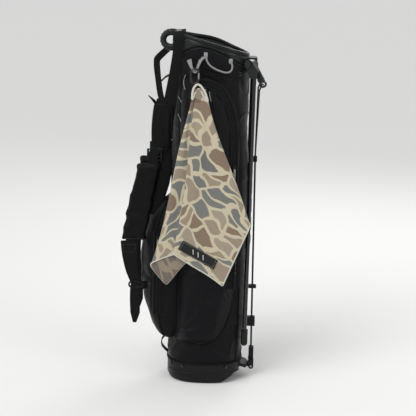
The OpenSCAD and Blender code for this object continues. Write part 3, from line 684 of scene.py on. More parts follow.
put(bar("divider_bar_long", True, 87.0), "bag", "collar_plastic", "top_divider")
put(bar("divider_bar_cross", False, 83.0), "bag", "collar_plastic")
t = np.linspace(0, TAU, 41)[None]
r = np.array([0.0, 4, 7.5, 9.0, 9.4, 9.4, 9.0])[:, None]
z = np.array([839.2, 839, 838, 835.5, 830, 812, 808])[:, None]
hub = at_xyz(r * np.cos(t), r * np.sin(t), z - r * np.cos(t) * SLOPE)
put(grid("divider_hub", hub), "bag", "collar_plastic")


def divider_sheet(name, across, half, seed):
    """Brushed lining between the bars and the base: a flat sheet with slow waves that die at its edges."""
    u = np.linspace(-1, 1, 60)[:, None]
    v = np.linspace(0, 1, 110)[None]
    top = 812 - (u * half * SLOPE if across else 0 * u)
    z = 84 + (top - 84) * v
    wave = 2.2 * ripple(u * half, z * 0.5, seed,
                        60) * (1 - u**4) * np.sin(math.pi * v) * np.minimum(np.abs(u) * 4, 1)
    P = at_xyz(u * half, wave, z) if across else at_xyz(wave, u * half, z)
    return put(grid(name, P, away=(3000, 3000)), "bag", "divider_fabric", solid=1.4, offset=0)


sheet_x = divider_sheet("divider_sheet_long", True, 82.0, 11)
sheet_y = divider_sheet("divider_sheet_cross", False, 77.0, 12)
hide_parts("divider_panels")
print("divider sheets", [tuple(round(c, 3) for c in o.dimensions) for o in (sheet_x, sheet_y)])

# %% [markdown]
# ## Fabric tube
# The tube is coated nylon pulled over four stays. It is a loft of the oval, with a soft swell on
# the leg side, slack folds above the base and tight folds below the collar.

# %% Fabric tube
def skin_swell(x, y, z):
    """How far the cloth stands off the plain oval, in millimetres."""
    legs = smooth((x - 55) / 35) * smooth((z - 70) / 90) * smooth((640 - z) / 130)
    around = np.arctan2(y, x) * 90
    slack = np.exp(-((z - 95) / 60) ** 2) + 0.6 * np.exp(-((z - 720) / 70) ** 2) + 0.35
    calm = smooth((z - 52) / 16)
    drawn = 3.4 * fold_fan(x, z, 70, 782, 258, 34, 8, 200) * smooth((np.abs(y) - 30) / 30)
    folds = 1.1 * ripple(around, z, 21, 75) + 2.0 * crease(around, z * 0.8, 22, 80)
    return calm * (6.5 * legs + drawn + slack * folds)


x, y, nx, ny = even_oval(BODY_A, BODY_B, 300)
v = np.linspace(0, 1, 250)[:, None]
z = 49 + (SKIN_TOP + 4 - x * SLOPE - 49) * v
swell = skin_swell(x, y, z)
put(grid("fabric_tube", at_xyz(x + swell * nx, y + swell * ny, z)), "bag", "shell_fabric", "bag_skin",
    solid=1.8)
band = np.array([1.9, 50.6]) + round_profile(2.6, 5.0, 12)
x, y, nx, ny = (c[:, None] for c in even_oval(BODY_A, BODY_B, 200))
P = at_xyz(x + band[:, 0] * nx, y + band[:, 0] * ny, band[:, 1])
put(grid("base_binding", np.concatenate([P, P[:, :1]], 1), away=None), "bag", "webbing")

# %% [markdown]
# ## Side pockets
# A pocket is a flat panel sewn down along its outline, so it rises from the tube like a cushion:
# its height follows the distance to the outline. Piping and stitches run in the seam.

# %% Side pockets
def outline_distance(x, z, outline):
    """Distance of each point to a closed chain of points, the least over its segments."""
    a = np.asarray(outline, float)
    b = np.roll(a, -1, axis=0)
    best = np.full(np.broadcast(x, z).shape, 1e9)
    for (ax, az), (bx, bz) in zip(a, b):
        ex, ez = bx - ax, bz - az
        t = np.clip(((x - ax) * ex + (z - az) * ez) / max(ex * ex + ez * ez, 1e-9), 0, 1)
        best = np.minimum(best, np.hypot(x - ax - t * ex, z - az - t * ez))
    return best


# Fold fans of a side pocket: depth, then the centre x and z, heading, spread, count and reach of fold_fan.
POCKET_FANS = ((2.6, 66, 205, 128, 34, 15, 70), (2.2, 70, 600, 205, 36, 14, 80),
               (2.0, -72, 130, 45, 30, 13, 75),
               (2.2, -60, 742, -50, 32, 13, 80), (3.4, 70, 782, 250, 38, 8, 240))
NEAR_SEED, FAR_SEED = 31, 41


def pocket_height(x, z, outline, seed):
    """Rise of the pocket above the tube: bulge sin(pi/2 d/w)^0.75 with folds where the cloth is slack."""
    d = outline_distance(x, z, outline)
    h = BULGE * np.sin(math.pi / 2 * np.clip(d / 30, 0, 1)) ** 0.75
    loose = smooth(d / 22)
    folds = 1.2 * ripple(x, z * 0.7, seed, 70) + 2.2 * crease(x * 1.2, z * 0.7, seed + 1, 100, 0.26)
    fans = sum(depth * fold_fan(x, z, *fan) for depth, *fan in POCKET_FANS)
    return h + loose * (folds + fans) - 0.8


def edges_of(outline, z):
    """Left and right x of the outline at each height."""
    p = np.asarray(outline)
    lo, hi = p[:, 1].argmin(), p[:, 1].argmax()
    ring_ = np.roll(p, -lo, axis=0)
    k = (hi - lo) % len(p)
    right, left = ring_[: k + 1], np.vstack([ring_[k:], ring_[:1]])[::-1]
    return np.interp(z, left[:, 1], left[:, 0]), np.interp(z, right[:, 1], right[:, 0])


NEAR = spline([(-66, 107), (-30, 104), (6, 104), (28, 117), (46, 140), (62, 185), (71, 235), (75, 290),
               (75, 430),
               (75, 580), (70, 640), (52, 700), (34, 738), (8, 765), (-28, 775), (-56, 769), (-71, 740),
               (-74, 640),
               (-74, 400), (-74, 200), (-73, 122)], 220, closed=True)[:-1]
FAR = spline([(-56, 402), (0, 400), (60, 402), (73, 420), (74, 540), (73, 660), (58, 708), (40, 735),
              (0, 739),
              (-50, 736), (-66, 708), (-67, 560), (-67, 424)], 180, closed=True)[:-1]


def side_pocket(name, outline, side, seed):
    """Sewn pocket on the near (-1) or far (+1) side: y = side (tube + height), a grid between its two edges."""
    zmin, zmax = outline[:, 1].min(), outline[:, 1].max()
    v = 0.5 - 0.5 * np.cos(np.linspace(0, math.pi, 230))
    z = (zmin + 0.3 + (zmax - zmin - 0.6) * (0.35 * np.linspace(0, 1, 230) + 0.65 * v))[:, None]
    left, right = edges_of(outline, z)
    u = np.linspace(0, 1, 76)[None]
    u = 0.6 * u + 0.4 * (0.5 - 0.5 * np.cos(math.pi * u))
    x = left + (right - left) * u
    y = side * (side_y(BODY_A, BODY_B, x) + pocket_height(x, z, outline, seed))
    return grid(name, at_xyz(x, y, z))


def on_near(path, lift):
    """Points (x, z) laid on the near pocket's cloth, lifted by a little: (x, y, z)."""
    x, z = np.asarray(path, float).T
    return at_xyz(x, -(side_y(BODY_A, BODY_B, x) + pocket_height(x, z, NEAR, NEAR_SEED) + lift), z)


put(side_pocket("apparel_pocket_cloth", NEAR, -1, NEAR_SEED), "bag", "shell_fabric", "apparel_pocket",
    solid=1.6)
put(side_pocket("far_pocket_cloth", FAR, 1, FAR_SEED), "bag", "shell_fabric", "far_pocket", solid=1.6)


def seam_line(name, outline, side):
    """Piping that follows the whole outline of a pocket on the tube."""
    x, z = np.vstack([outline, outline[:1]]).T
    path = at_xyz(x, side * (side_y(BODY_A, BODY_B, x) + 0.6), z)
    put(sweep(name, path, round_profile(3.0, 3.0, 8), (0.05, side, 0.02), loop=True), "bag", "webbing")


seam_line("apparel_piping", NEAR, -1)
seam_line("far_piping", FAR, 1)
centre = NEAR.mean(0)
inset = centre + (NEAR - centre) * np.array([0.915, 0.982])
inset = np.vstack([inset, inset[:1]])
put(stitches("apparel_stitching", on_near(inset, 0.15), (0, -1, 0)), "bag", "thread")

# %% [markdown]
# ## Zips
# A zip is two tapes with a chain of interlocked teeth between them and a raised lip of cloth on
# both sides. The slider is a small casting with a pull, and it rides on its own body.

# %% Zips
ZIP_A, ZIP_B = 97.5, 112.5
TOOTH_PITCH = 1.7


def zip_on(tag, path, normal, node):
    """Two cloth lips, a tape and its teeth along a path that lies on the cloth."""
    path = spline(path, 260)
    nrm = np.broadcast_to(np.asarray(normal, float), path.shape)
    t = unit(np.gradient(path, axis=0))
    nrm = unit(nrm - (nrm * t).sum(1, keepdims=True) * t)
    side = np.cross(t, nrm)
    tape = sweep(tag + "_zip_tape", path + 0.5 * nrm, round_profile(1.4, 15, 12, 5.0), side)
    put(tape, "bag", "webbing", node)
    for k, edge in ((-1, "a"), (1, "b")):
        lip = sweep(f"{tag}_zip_lip_{edge}", path + side * k * 8.2 + nrm * 0.9,
                    round_profile(3.4, 5.6, 12, 2.4), side, ends=3)
        put(lip, "bag", "shell_fabric")
        put(stitches(f"{tag}_zip_thread_{edge}", path + side * k * 11.8 + nrm * 0.5, nrm), "bag", "thread")
    n = int(np.linalg.norm(np.diff(path, axis=0), axis=1).sum() / TOOTH_PITCH)
    at, spot = np.linspace(0, 1, n), np.linspace(0, 1, len(path))
    nrm, side = (np.stack([np.interp(at, spot, c) for c in v.T], 1) for v in (nrm, side))
    shift = np.where(np.arange(n) % 2, 1.1, -1.1)[:, None] * side
    tooth, faces = pill(3.9, 1.25, 1.6)
    put(repeat(tag + "_zip_teeth", tooth, faces, spline(path[::6], n) + shift + 1.4 * nrm, side, nrm), "bag",
        "zip")


near_zip = np.array([(-30, 752), (-8, 752), (18, 742), (38, 716), (52, 676), (59, 630), (60, 585), (60, 540),
                     (60, 500),
                     (60, 460), (60, 420), (60, 380), (60, 340), (60, 300), (60, 250)], float)
zip_x, zip_z = near_zip.T
zip_seat = at_xyz(zip_x, -side_y(ZIP_A, ZIP_B, zip_x) - 0.4, zip_z)
zip_seat[:5, 1] = np.minimum(on_near(near_zip, 1.2)[:5, 1], -side_y(ZIP_A, ZIP_B, zip_x[:5]) + 4)
zip_on("apparel", zip_seat, unit(np.array([0.35, -0.94, 0.0])), "apparel_zip")
far_zip = at_xyz(60.0, side_y(ZIP_A, ZIP_B, 60.0) + 0.4, np.linspace(425, 655, 8))
zip_on("far", far_zip, unit(np.array([0.35, 0.94, 0.0])), "far_zip")


def zip_slider(tag, node, side, tilt):
    """Slider casting and a woven pull. Both sit where the CAD slider sits, with the cast body tilted to the cloth."""
    lo, hi = (np.array(c) * 1000 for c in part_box(node))
    cx, cz = (lo[0] + hi[0]) / 2, hi[2] - 7
    base = hi[1] if side < 0 else lo[1]
    out = np.array([math.sin(tilt), side * math.cos(tilt), 0.0])
    origin = np.array([cx, base, cz])

    def seat(spots):
        """Points given as (out of the cloth, up) from the middle of the casting."""
        return np.array([origin + out * b + np.array([0, 0, c]) for b, c in spots])

    s = np.linspace(-1, 1, 24)
    path = at_xyz(cx, base, cz + 7 * s) + out * (1.9 + 0.5 * np.cos(s * 1.5))[:, None]
    prof = changing_profile(9.6 - 2.6 * smooth(0.5 - 0.5 * s), 3.6 + 0 * s, 20, 3.2)
    body = BODY_OF[node]
    put(sweep(tag + "_slider_body", path, prof, out, ends=3), body, "zip", node)
    bridge = spline(seat([(1.5, 4), (4.4, 3.2), (5.2, 0.5), (4.6, -2.4), (1.8, -4)]), 40)
    put(sweep(tag + "_slider_bridge", bridge, round_profile(1.7, 1.7, 12), (1, 0.02, 0.03), 3), body, "zip")
    pull = seat([(4.9, -0.5), (5.6, -3.5), (5.4, -8), (4.6, -14), (4.0, -22), (3.8, -27)])
    widths = [3.2, 4.6, 5.6, 5.8, 5.8, 5.2]
    put(ribbon(tag + "_pull", pull, np.cross(out, (0, 0, 1)), widths, 1.9, 50, 3), body, "grey_webbing")


zip_slider("apparel", "apparel_slider", -1, math.radians(20))
zip_slider("far", "far_slider", 1, math.radians(20))

# %% [markdown]
# ## Ball pocket, bottle pouch
# The ball pocket is a deep bellows at the spine. Its plan is the wider oval and its depth swells
# and falls with height. The pouch is a stretch sleeve with a bound, open top.

# %% Ball pocket and pouch
# Height, depth from the spine and half width of the ball pocket.
BALL = [(108, 8, 50), (112, 22, 58), (122, 34, 62), (143, 46, 65), (190, 61, 66), (243, 71.5, 66),
        (321, 75.5, 66),
        (370, 71, 66), (412, 58, 65), (440, 38, 62), (456, 20, 56), (464, 3, 44)]
z, depth, half = (c[:, None] for c in spline(BALL, 170).T)
th = np.radians(np.linspace(-116, 116, 150))[None]
cx_, cy_ = oval(1.0, 1.0, th)
flat_side = np.abs(np.sin(th)) ** 6
loose = np.sin(math.pi * np.linspace(0, 1, 170))[:, None] ** 0.5
run = np.degrees(th) * 1.15
folds = 1.6 * ripple(run, z * 0.8, 51, 70) + 2.2 * crease(run, z * 0.6, 52, 90, 0.28)
folds = folds + 3.0 * fold_fan(run, z, 95, 250, 175, 40, 11, 90) + 3.0 * fold_fan(run, z, -95, 250, 5, 40,
                                                                                  11, 90)
folds = folds * loose * (1 - 0.75 * flat_side)
px = -90 - (depth + folds) * cx_
py = (half + 0.5 * folds * (1 - flat_side)) * cy_
ball_cloth = grid("ball_pocket_cloth", at_xyz(px, py, z), away=(-90, 0))
put(ball_cloth, "bag", "shell_fabric", "ball_pocket", solid=1.8)
for tag, heading in (("near", -66), ("far", 66)):
    j = int(np.argmin(np.abs(np.degrees(th[0]) - heading)))
    seam = at_xyz(px[6:-6, j] - 0.8, py[6:-6, j] * 1.012, z[6:-6, 0])
    put(sweep("ball_piping_" + tag, seam, round_profile(3, 3, 8), (1, 0.1, 0.05), ends=3), "bag", "webbing")
ball_zip = at_xyz(-121.0, -65.7, np.linspace(172, 384, 7))
zip_on("ball", ball_zip, unit(np.array([-0.12, -1.0, 0.0])), "ball_zip")
zip_slider("ball", "ball_slider", -1, math.radians(-5))

v = np.linspace(0, 1, 90)[:, None]
z = 150 + 205 * v
th = np.radians(np.linspace(8, 172, 110))[None]
c_, s_ = oval(1.0, 1.0, th)
foot = np.sqrt(1 - np.clip(1 - v * 9, 0, 1) ** 2)
bell = 1 - 0.05 * smooth((v - 0.8) / 0.2) + 0.02 * np.sin(math.pi * v)
sag = 0.7 * ripple(np.degrees(th) * 0.9, z, 61, 60) * np.sin(math.pi * v)
pouch = at_xyz(10 + 42 * c_ * (0.8 + 0.2 * foot) * bell, 68 + (76 * bell * (0.55 + 0.45 * foot) + sag) * s_,
               z)
put(grid("bottle_pouch_cloth", pouch, away=(10, 60)), "bag", "shell_fabric", "bottle_pocket", solid=2.4)
mouth = pouch[-1] + [0, 0, 0.5]
put(sweep("pouch_binding", mouth, round_profile(5.0, 9, 14, 3), (0, 0, 1), ends=3), "bag", "webbing")
away = unit(mouth - [10, 60, 355.5])
put(stitches("pouch_stitching", mouth + [0, 0, -7.0] + away * 0.8, away), "bag", "thread")
print("ball pocket depth", round(float(px.min()), 1))

# %% [markdown]
# ## Spine handle and loops
# The handle is a C-shaped grip with finger ribs. The trunk loop is a folded webbing tab. A flat grey
# loop, sewn in under the cuff, carries the towel clip, and a round braided cord hangs beside it.

# %% Handle and loops
grip = spline([(-88, 0, 868.5), (-98, 0, 869.5), (-108, 0, 868), (-116.5, 0, 861.5), (-120, 0, 851),
               (-116.5, 0, 840.5),
               (-108, 0, 834), (-98, 0, 832.5), (-88, 0, 833.5)], 120)
s = np.linspace(0, 1, 120)
ribs = 1 + 0.055 * np.cos(s * TAU * 13) * smooth((s - 0.14) / 0.08) * smooth((0.86 - s) / 0.08)
wide = 26.5 + 1.5 * np.cos(s * TAU)
deep = 16.5 + 1.0 * np.cos(s * TAU)
prof = changing_profile(deep * ribs, wide * (0.5 + 0.5 * ribs), 30, 3.0)
put(sweep("spine_grip", grip, prof, (0, 1, 0)), "bag", "collar_plastic", "spine_handle")
plate = spline([(-93.2, 0, 875), (-94.0, 0, 860), (-94.2, 0, 850), (-94.0, 0, 838), (-93.2, 0, 826)], 40)
put(sweep("grip_plate", plate, round_profile(5, 31, 24, 5), (0, 1, 0), ends=4), "bag", "collar_plastic")

loop_path = [(-93, 0, 106), (-99, 0, 102), (-108, 0, 92), (-110.5, 0, 84), (-109, 0, 74), (-101, 0, 64),
             (-94, 0, 58)]
put(ribbon("trunk_loop_web", loop_path, (0, 1, 0), 23.5, 2.2, 90), "bag", "webbing", "trunk_loop")
loop_in = [(-54, -85, 808), (-52, -93, 803), (-48, -106, 793), (-43.5, -117, 786), (-39.5, -122, 783)]
loop_out = [(-37, -122, 783.5), (-34, -114, 790), (-30, -101, 800), (-26, -93, 809), (-20, -90.5, 815),
            (-15, -88, 818)]
put(ribbon("towel_loop_a", loop_in, (0.8, -0.25, 0.2), [12, 10, 7, 5.5, 5], 2.0, 60), "bag", "grey_webbing",
    "towel_loop")
put(ribbon("towel_loop_b", loop_out, (0.8, -0.25, 0.2), [5, 5.5, 7, 8, 10, 11], 2.0, 60), "bag",
    "grey_webbing")
t = np.linspace(0, TAU, 49)
eye = at_xyz(-38.6 + 4.6 * np.cos(t), -121.6 + 0.8 * np.cos(t), 784.0 + 3.6 * np.sin(t))
put(sweep("towel_loop_eye", eye, round_profile(2.6, 3.2, 12), (0, 1, 0), loop=True), "bag", "grey_webbing")

CORD_D = 4.4
line = spline([(-15, -88, 824), (-13, -92.5, 812), (-6, -94, 799), (6, -94.5, 790), (20, -94, 784),
               (34, -92, 780.5),
               (45, -89, 783), (49.5, -86, 793), (47, -82, 806), (45, -78, 814)], 90)
twist = np.cos(np.arange(14) * 3 * TAU / 14 + np.linspace(0, 1, 90)[:, None] * 150)
strands = round_profile(1, 1, 14) * (CORD_D * (1 + 0.05 * twist))[..., None]
grey_cord = put(sweep("grey_cord", line, strands, (0.2, 1, 0.1)), "bag", "grey_webbing", "grey_loop")
print("grip and loops done")

# %% [markdown]
# ## Padded pieces
# Shoulder pads and the hip pad are foam in fabric. Each starts as the CAD solid, is remeshed and
# blown up a little as cloth, then gets its sewn channels and creases.

# %% Padded pieces
CLOTH_STEPS = 20


def inflate(label, name, voxel, cap):
    """Voxel remesh of the CAD solid, a short cloth run under pressure, with the travel capped."""
    ob = cad_copy(label, name, shrink=0.97)
    m = ob.modifiers.new("remesh", "REMESH")
    m.mode, m.voxel_size = "VOXEL", voxel / 1000
    rest = bpy.data.meshes.new_from_object(ob.evaluated_get(bpy.context.evaluated_depsgraph_get()))
    ob.modifiers.clear()
    ob.data = rest
    n = len(rest.vertices)
    start = np.empty(n * 3)
    rest.vertices.foreach_get("co", start)
    moved = start.copy()
    cl = ob.modifiers.new("cloth", "CLOTH")
    cl.settings.quality = 6
    cl.settings.use_pressure = True
    cl.settings.uniform_pressure_force = 5.0
    cl.settings.tension_stiffness = cl.settings.compression_stiffness = 18
    cl.settings.effector_weights.gravity = 0
    cl.point_cache.frame_start, cl.point_cache.frame_end = 1, CLOTH_STEPS
    for f in range(1, CLOTH_STEPS + 1):
        bpy.context.scene.frame_set(f)
    done = bpy.data.meshes.new_from_object(ob.evaluated_get(bpy.context.evaluated_depsgraph_get()))
    done.vertices.foreach_get("co", moved)
    ob.modifiers.clear()
    bpy.context.scene.frame_set(1)
    step = (moved - start).reshape(-1, 3)
    far_ = np.linalg.norm(step, axis=1, keepdims=True)
    step = step * np.minimum(1, cap / 1000 / np.maximum(far_, 1e-9))
    rest.vertices.foreach_set("co", (start.reshape(-1, 3) + step).ravel())
    rest.shade_smooth()
    rest.update()
    print(name, n, "points, moved up to", round(float(far_.max() * 1000), 2), "mm")
    return ob


def push(ob, amount):
    """Moves each point along its normal by amount(x, y, z), in millimetres."""
    me = ob.data
    n = len(me.vertices)
    co, nr = np.empty(n * 3), np.empty(n * 3)
    me.vertices.foreach_get("co", co)
    me.vertex_normals.foreach_get("vector", nr)
    co, nr = co.reshape(-1, 3), nr.reshape(-1, 3)
    a = amount(*(co.T * 1000))
    me.vertices.foreach_set("co", (co + nr * (a[:, None] / 1000)).ravel())
    me.update()


def pad_creases(x, y, z):
    """Diagonal creases across a shoulder pad. c is the distance from the pad's leaning centre line."""
    c = x + 0.30 * (z - 357) + 182 - 0.00024 * (z - 357) ** 2
    diag = 1.5 * crease(x + 0.8 * z, z - 0.5 * x, 73, 70,
                        0.3) + np.cos((z + 0.8 * c) / 15 + 1.5 * np.sin(z / 31))
    return diag * np.exp(-(c / 40) ** 2) - 0.8 + ripple(x, z, 71, 40)


def hip_channels(x, y, z):
    """Sewn channels across the hip pad's outer face every 46 mm, and one down its middle."""
    cross_seams = 3.2 * np.exp(-((((z - 445) % 46) - 23) / 3.4) ** 2)
    return smooth((x - 96) / 6) * (-cross_seams - 2.4 * np.exp(-(y / 3.2) ** 2))


near_pad = inflate("shoulder_pad_near", "shoulder_pad_soft_near", 4.5, 3.5)
push(near_pad, pad_creases)
far_me = near_pad.data.copy()
far_me.name = "shoulder_pad_soft_far"
far_me.transform(Matrix.Scale(-1, 4, (0, 1, 0)))
far_me.flip_normals()
for ob, tag in ((near_pad, "near"), (add_object("shoulder_pad_soft_far", far_me), "far")):
    put(ob, "strap_" + tag, "pad_fabric", "shoulder_pad_" + tag, subsurf=1)

hip = inflate("hip_pad", "hip_pad_soft", 5.0, 4.0)
push(hip, hip_channels)
put(hip, "bag", "pad_fabric", "hip_pad", subsurf=1)

# %% [markdown]
# ## Shoulder straps
# Each strap is flat webbing that comes over the rim, runs through a gathered sleeve to a buckle,
# then the pad, a tapered end and a loose tail. The far strap is the near one mirrored.

# %% Shoulder straps
def strap(side, body, tag):
    """All the webbing of one strap. side is -1 for the near one and +1 for the far one."""
    def at(points):
        return [(px_, side * py_, pz_) for px_, py_, pz_ in points]

    hook = at([(-77, 44, 846), (-77.5, 46, 862), (-78, 52, 871), (-78.5, 60, 873.5), (-79, 66.5, 869),
               (-79.8, 69.6, 857),
               (-80.6, 70.4, 844)])
    put(ribbon("strap_hook_" + tag, hook, (1, 0, 0.1), [25, 25, 25, 25, 25, 25, 24], 2.3, 90, bow=0.5),
        "bag", "webbing")
    over = at([(-80.4, 72.2, 850), (-81.5, 71.8, 832), (-83, 71, 815), (-91, 69.8, 758), (-99, 69.3, 700),
               (-108, 69, 650), (-116, 69, 600), (-118, 69, 588)])
    put(ribbon("strap_web_over_" + tag, over, (1, 0, 0.1), [24, 24.5, 25, 28, 32, 34, 33, 32], 2.3, 140,
               bow=0.5),
        ("bag", body, (-80, side * 70, 852), (-112, side * 70, 640)), "webbing", "strap_web_" + tag)
    s_ = np.linspace(0, 1, 90)
    path_ = np.stack([-113 - 5 * s_, side * (69.5 + 0 * s_), 701 - 108 * s_], 1)
    w_ = 40 + 12 * np.sin(math.pi * (0.15 + 0.75 * s_)) ** 0.8
    d_ = 6.5 + 7.5 * np.sin(math.pi * (0.1 + 0.8 * s_))
    a_ = np.arange(44) * TAU / 44
    rip = 1 + 0.16 * np.cos(a_[None] * 9 + 0.8 * np.sin(s_[:, None] * 5)) * np.sin(math.pi * s_[:, None])
    sh = round_profile(1, 1, 44, 2.6)
    prof_ = np.stack([sh[None, :, 0] * w_[:, None] * (0.9 + 0.1 * rip), sh[None, :, 1] * d_[:, None] * rip],
                     2)
    put(sweep("strap_sleeve_" + tag, path_, prof_, (0, side, 0), ends=5), body, "pad_fabric")
    wing = at([(-112, 62.5, 596), (-113, 62.5, 560), (-119, 62.5, 515), (-130, 62.5, 470),
               (-142, 62.5, 428)])
    put(ribbon("pad_wing_" + tag, wing, (1, 0, 0.2), [34, 45, 50, 46, 18], 4.2, 90, bow=0.6), body,
        "pad_fabric")
    end = at([(-192, 69, 360), (-191, 69, 340), (-189.5, 69, 315), (-185, 69, 285), (-177, 69, 262),
              (-173.5, 69, 247),
              (-173, 69, 240)])
    put(ribbon("strap_taper_" + tag, end, (1, 0, 0.15), [44, 42, 38, 33, 29, 27, 26], 3.4, 110), body,
        "webbing", "strap_end_" + tag)
    tail = at([(-176, 70.5, 252), (-177, 71.5, 236), (-176.5, 70, 205), (-175.5, 69.5, 178),
               (-176.5, 69.5, 151)])
    put(ribbon("strap_loose_" + tag, tail, (1, 0, 0.02), [22, 24, 25, 24, 9], 1.9, 80), body, "webbing",
        "strap_tail_" + tag)
    lock = np.array(at([(-160, 71.5, 244), (-160, 71.5, 254), (-188, 71.5, 255), (-188, 71.5, 243)]))
    put(sweep("strap_slide_" + tag, spline(lock, 70, closed=True), round_profile(4.4, 4.0, 14, 3), (0, 1, 0),
              loop=True),
        body, "buckle_plastic")
    hook = at([(-116, 70, 598), (-130, 72, 590), (-136, 73, 574), (-137, 72.5, 556), (-140, 71, 545)])
    put(ribbon("strap_keeper_" + tag, hook, (1, 0, 0.2), [22, 23, 24, 24, 22], 2.2, 60), body, "webbing")
    hemline = np.array(at([(-207, 77.4, 366), (-195, 77.6, 366), (-180, 77.6, 366), (-156, 77.4, 367)]))
    put(stitches("pad_hem_thread_" + tag, spline(hemline, 60), (0, side, 0), 3.6, 2.7, 0.9), body, "thread")
    box_ = [(-207, 350), (-176, 350), (-178, 331), (-205, 331), (-207, 350)]
    xbox = np.vstack([np.linspace(p, q, 14)[:-1] for p, q in zip(box_[:-1], box_[1:])])
    xbox = np.stack([xbox[:, 0], np.full(len(xbox), side * 71.0), xbox[:, 1]], 1)
    put(stitches("strap_box_thread_" + tag, xbox, (0, side, 0), 3.2, 2.3, 0.7), body, "thread")


for side, body, tag in ((-1, "strap_near", "near"), (1, "strap_far", "far")):
    strap(side, body, tag)
    tab_ = [(-146, side * 60, 247), (-156, side * 66.2, 247), (-166, side * 67.4, 247.5),
            (-177, side * 67.2, 248.5)]
    put(ribbon("strap_anchor_" + tag, tab_, (0, 0, 1), 20, 2.0, 40),
        ("bag", body, (-150, side * 63, 247), (-167, side * 67, 247)), "webbing")
thin = [(-98, 20, 834), (-110, 27, 826), (-126, 39, 811), (-135.5, 47, 800), (-137, 49, 791),
        (-136, 49, 775), (-132, 47, 745),
        (-127, 44, 715), (-120, 40, 690)]
put(ribbon("lift_web", thin, (0.9, -0.35, 0.1), [16, 16, 17, 17, 17, 16, 16, 16, 15], 1.9, 140), "bag",
    "webbing")
fly = [(-122, -70.5, 690), (-131, -72, 700), (-140, -73, 710), (-151, -72, 720)]
put(ribbon("strap_fly", fly, (0.7, 0, 0.7), [13, 9, 5.5, 1.6], 1.8, 40), "strap_near", "webbing")
strand = [(-97, -12, 770), (-104, 2, 764), (-114, 22, 757), (-126, 42, 744)]
put(ribbon("cross_strand", strand, (0.5, -0.3, 0.8), [7, 7, 7, 8], 1.8, 60), "bag", "webbing")
print("straps done")

# %% [markdown]
# ## Clip and towel
# The towel is one flat cloth hung by the middle of its long edge, so it falls as a folded cone:
# every straight line from the clip stays straight. The fold lines are where the fan turns back.

# %% Towel
TOP = np.array([-38.0, -122.0, 748.0])
WIDE, LONG = 295.0, 391.0
TURN_PHI = np.array([-90, -60, -43, -37, -29, 0, 15.6, 37, 55.7, 90.0])
TURN_FAN = np.array([-10, 17, -1.5, -6.1, -13.4, 9, -6.2, 8.2, 23.6, -8.0])
FOLDS = np.array([-60, -29, 0, 15.6, 55.7])
LAYER_Y = np.array([-116.8, -119.2, -123.6, -127.2, -131.4, -114.4])


def fan_angle(phi):
    """Zigzag of the cone's fan angle against the flat angle, with corners rounded by a running mean."""
    out = np.zeros_like(phi)
    for d in np.linspace(-1.6, 1.6, 9):
        out += np.interp(phi + d, TURN_PHI, TURN_FAN)
    return out / 9


def layer_depth(phi):
    """Depth of the cloth: one value in each layer, eased across each fold."""
    out = np.full_like(phi, LAYER_Y[0])
    for k, fold in enumerate(FOLDS):
        out += (LAYER_Y[k + 1] - LAYER_Y[k]) * smooth((phi - fold + 3.2) / 6.4)
    valley = 2.6 * np.exp(-(((fan_angle(phi) + 7.4) / 1.9) ** 2)) * smooth((phi + 28) / 4) * smooth((-6 - phi) / 4)
    return out + valley


def hang(phi, r):
    """Where the cloth's point at flat angle phi (degrees) and distance r (mm) hangs, in the row frame."""
    fan = fan_angle(phi)
    a = np.radians(fan + 0.9 * np.sin(fan * 0.21 + r * 0.013) * smooth(r / 150))
    y = TOP[1] + (layer_depth(phi) - TOP[1]) * smooth(r / 95)
    wave = 1.5 * np.sin(fan * 0.42 + r * 0.017) + 0.7 * np.sin(fan * 0.95 - r * 0.034)
    y = y + wave * smooth(r / 160) - 1.2 * smooth((r - 250) / 200) * np.cos(fan * 0.3)
    bunch = (0.68 * fan + 8.5) * np.exp(-r / 130)
    return at_xyz(TOP[0] + bunch + r * np.sin(a), y, TOP[2] - r * np.cos(a))


def reach(phi):
    """Distance from the hanging point to the edge of the flat cloth."""
    p = np.radians(np.abs(phi))
    return np.minimum(LONG / np.maximum(np.cos(p), 1e-6), WIDE / np.maximum(np.sin(p), 1e-6))


phi = np.linspace(-90, 90, 361)[:, None]
f = np.linspace(0, 1, 92)[None]
r = 6 + (reach(phi) - 6) * f
P = hang(phi + 0 * r, r)
uv = np.stack([r * np.sin(np.radians(phi)), -r * np.cos(np.radians(phi))], 2)
towel = grid("towel_cloth", P, away=None, uv=uv)
front = np.array([p.normal.y for p in towel.data.polygons if abs(p.center.y * 1000 + 131.4) < 1.2 and p.center.z < 0.6])
if front.sum() > 0:
    towel.data.flip_normals()
towel.data.materials.append(MATS["towel_cloth"])
towel.data.materials.append(MATS["towel_reverse"])
put(towel, "towel_clip", "towel_cloth", "towel", solid=1.5)
towel.modifiers["thickness"].material_offset = 1
towel.modifiers["thickness"].material_offset_rim = 0


def hem(name, lo, hi, inner):
    """Rolled edge: a slim tube that follows the flat cloth's border between two flat angles."""
    ph = np.linspace(lo, hi, int(abs(hi - lo) * 3))
    rr = reach(ph) - inner
    return put(sweep(name, hang(ph, rr), round_profile(3.4, 2.8, 8), (0.02, 1, 0.03), ends=2), "towel_clip",
               "hem")


hems = [hem("towel_hem_bottom", -37, 37, 1.0), hem("towel_hem_left", -89, -37, 1.0),
        hem("towel_hem_right", 37, 89, 1.0)]
hems[0]["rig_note"] = "rolled edge"

s = np.linspace(0, 1, 40)[:, None]
c = np.linspace(0, 1, 12)[None]
corner = np.array([(-58, 377), (27, 330), (17, 307), (-70, 355)], float)
flat = (corner[0] * (1 - s[..., None]) + corner[1] * s[..., None]) * (1 - c[..., None]) + \
       (corner[3] * (1 - s[..., None]) + corner[2] * s[..., None]) * c[..., None]


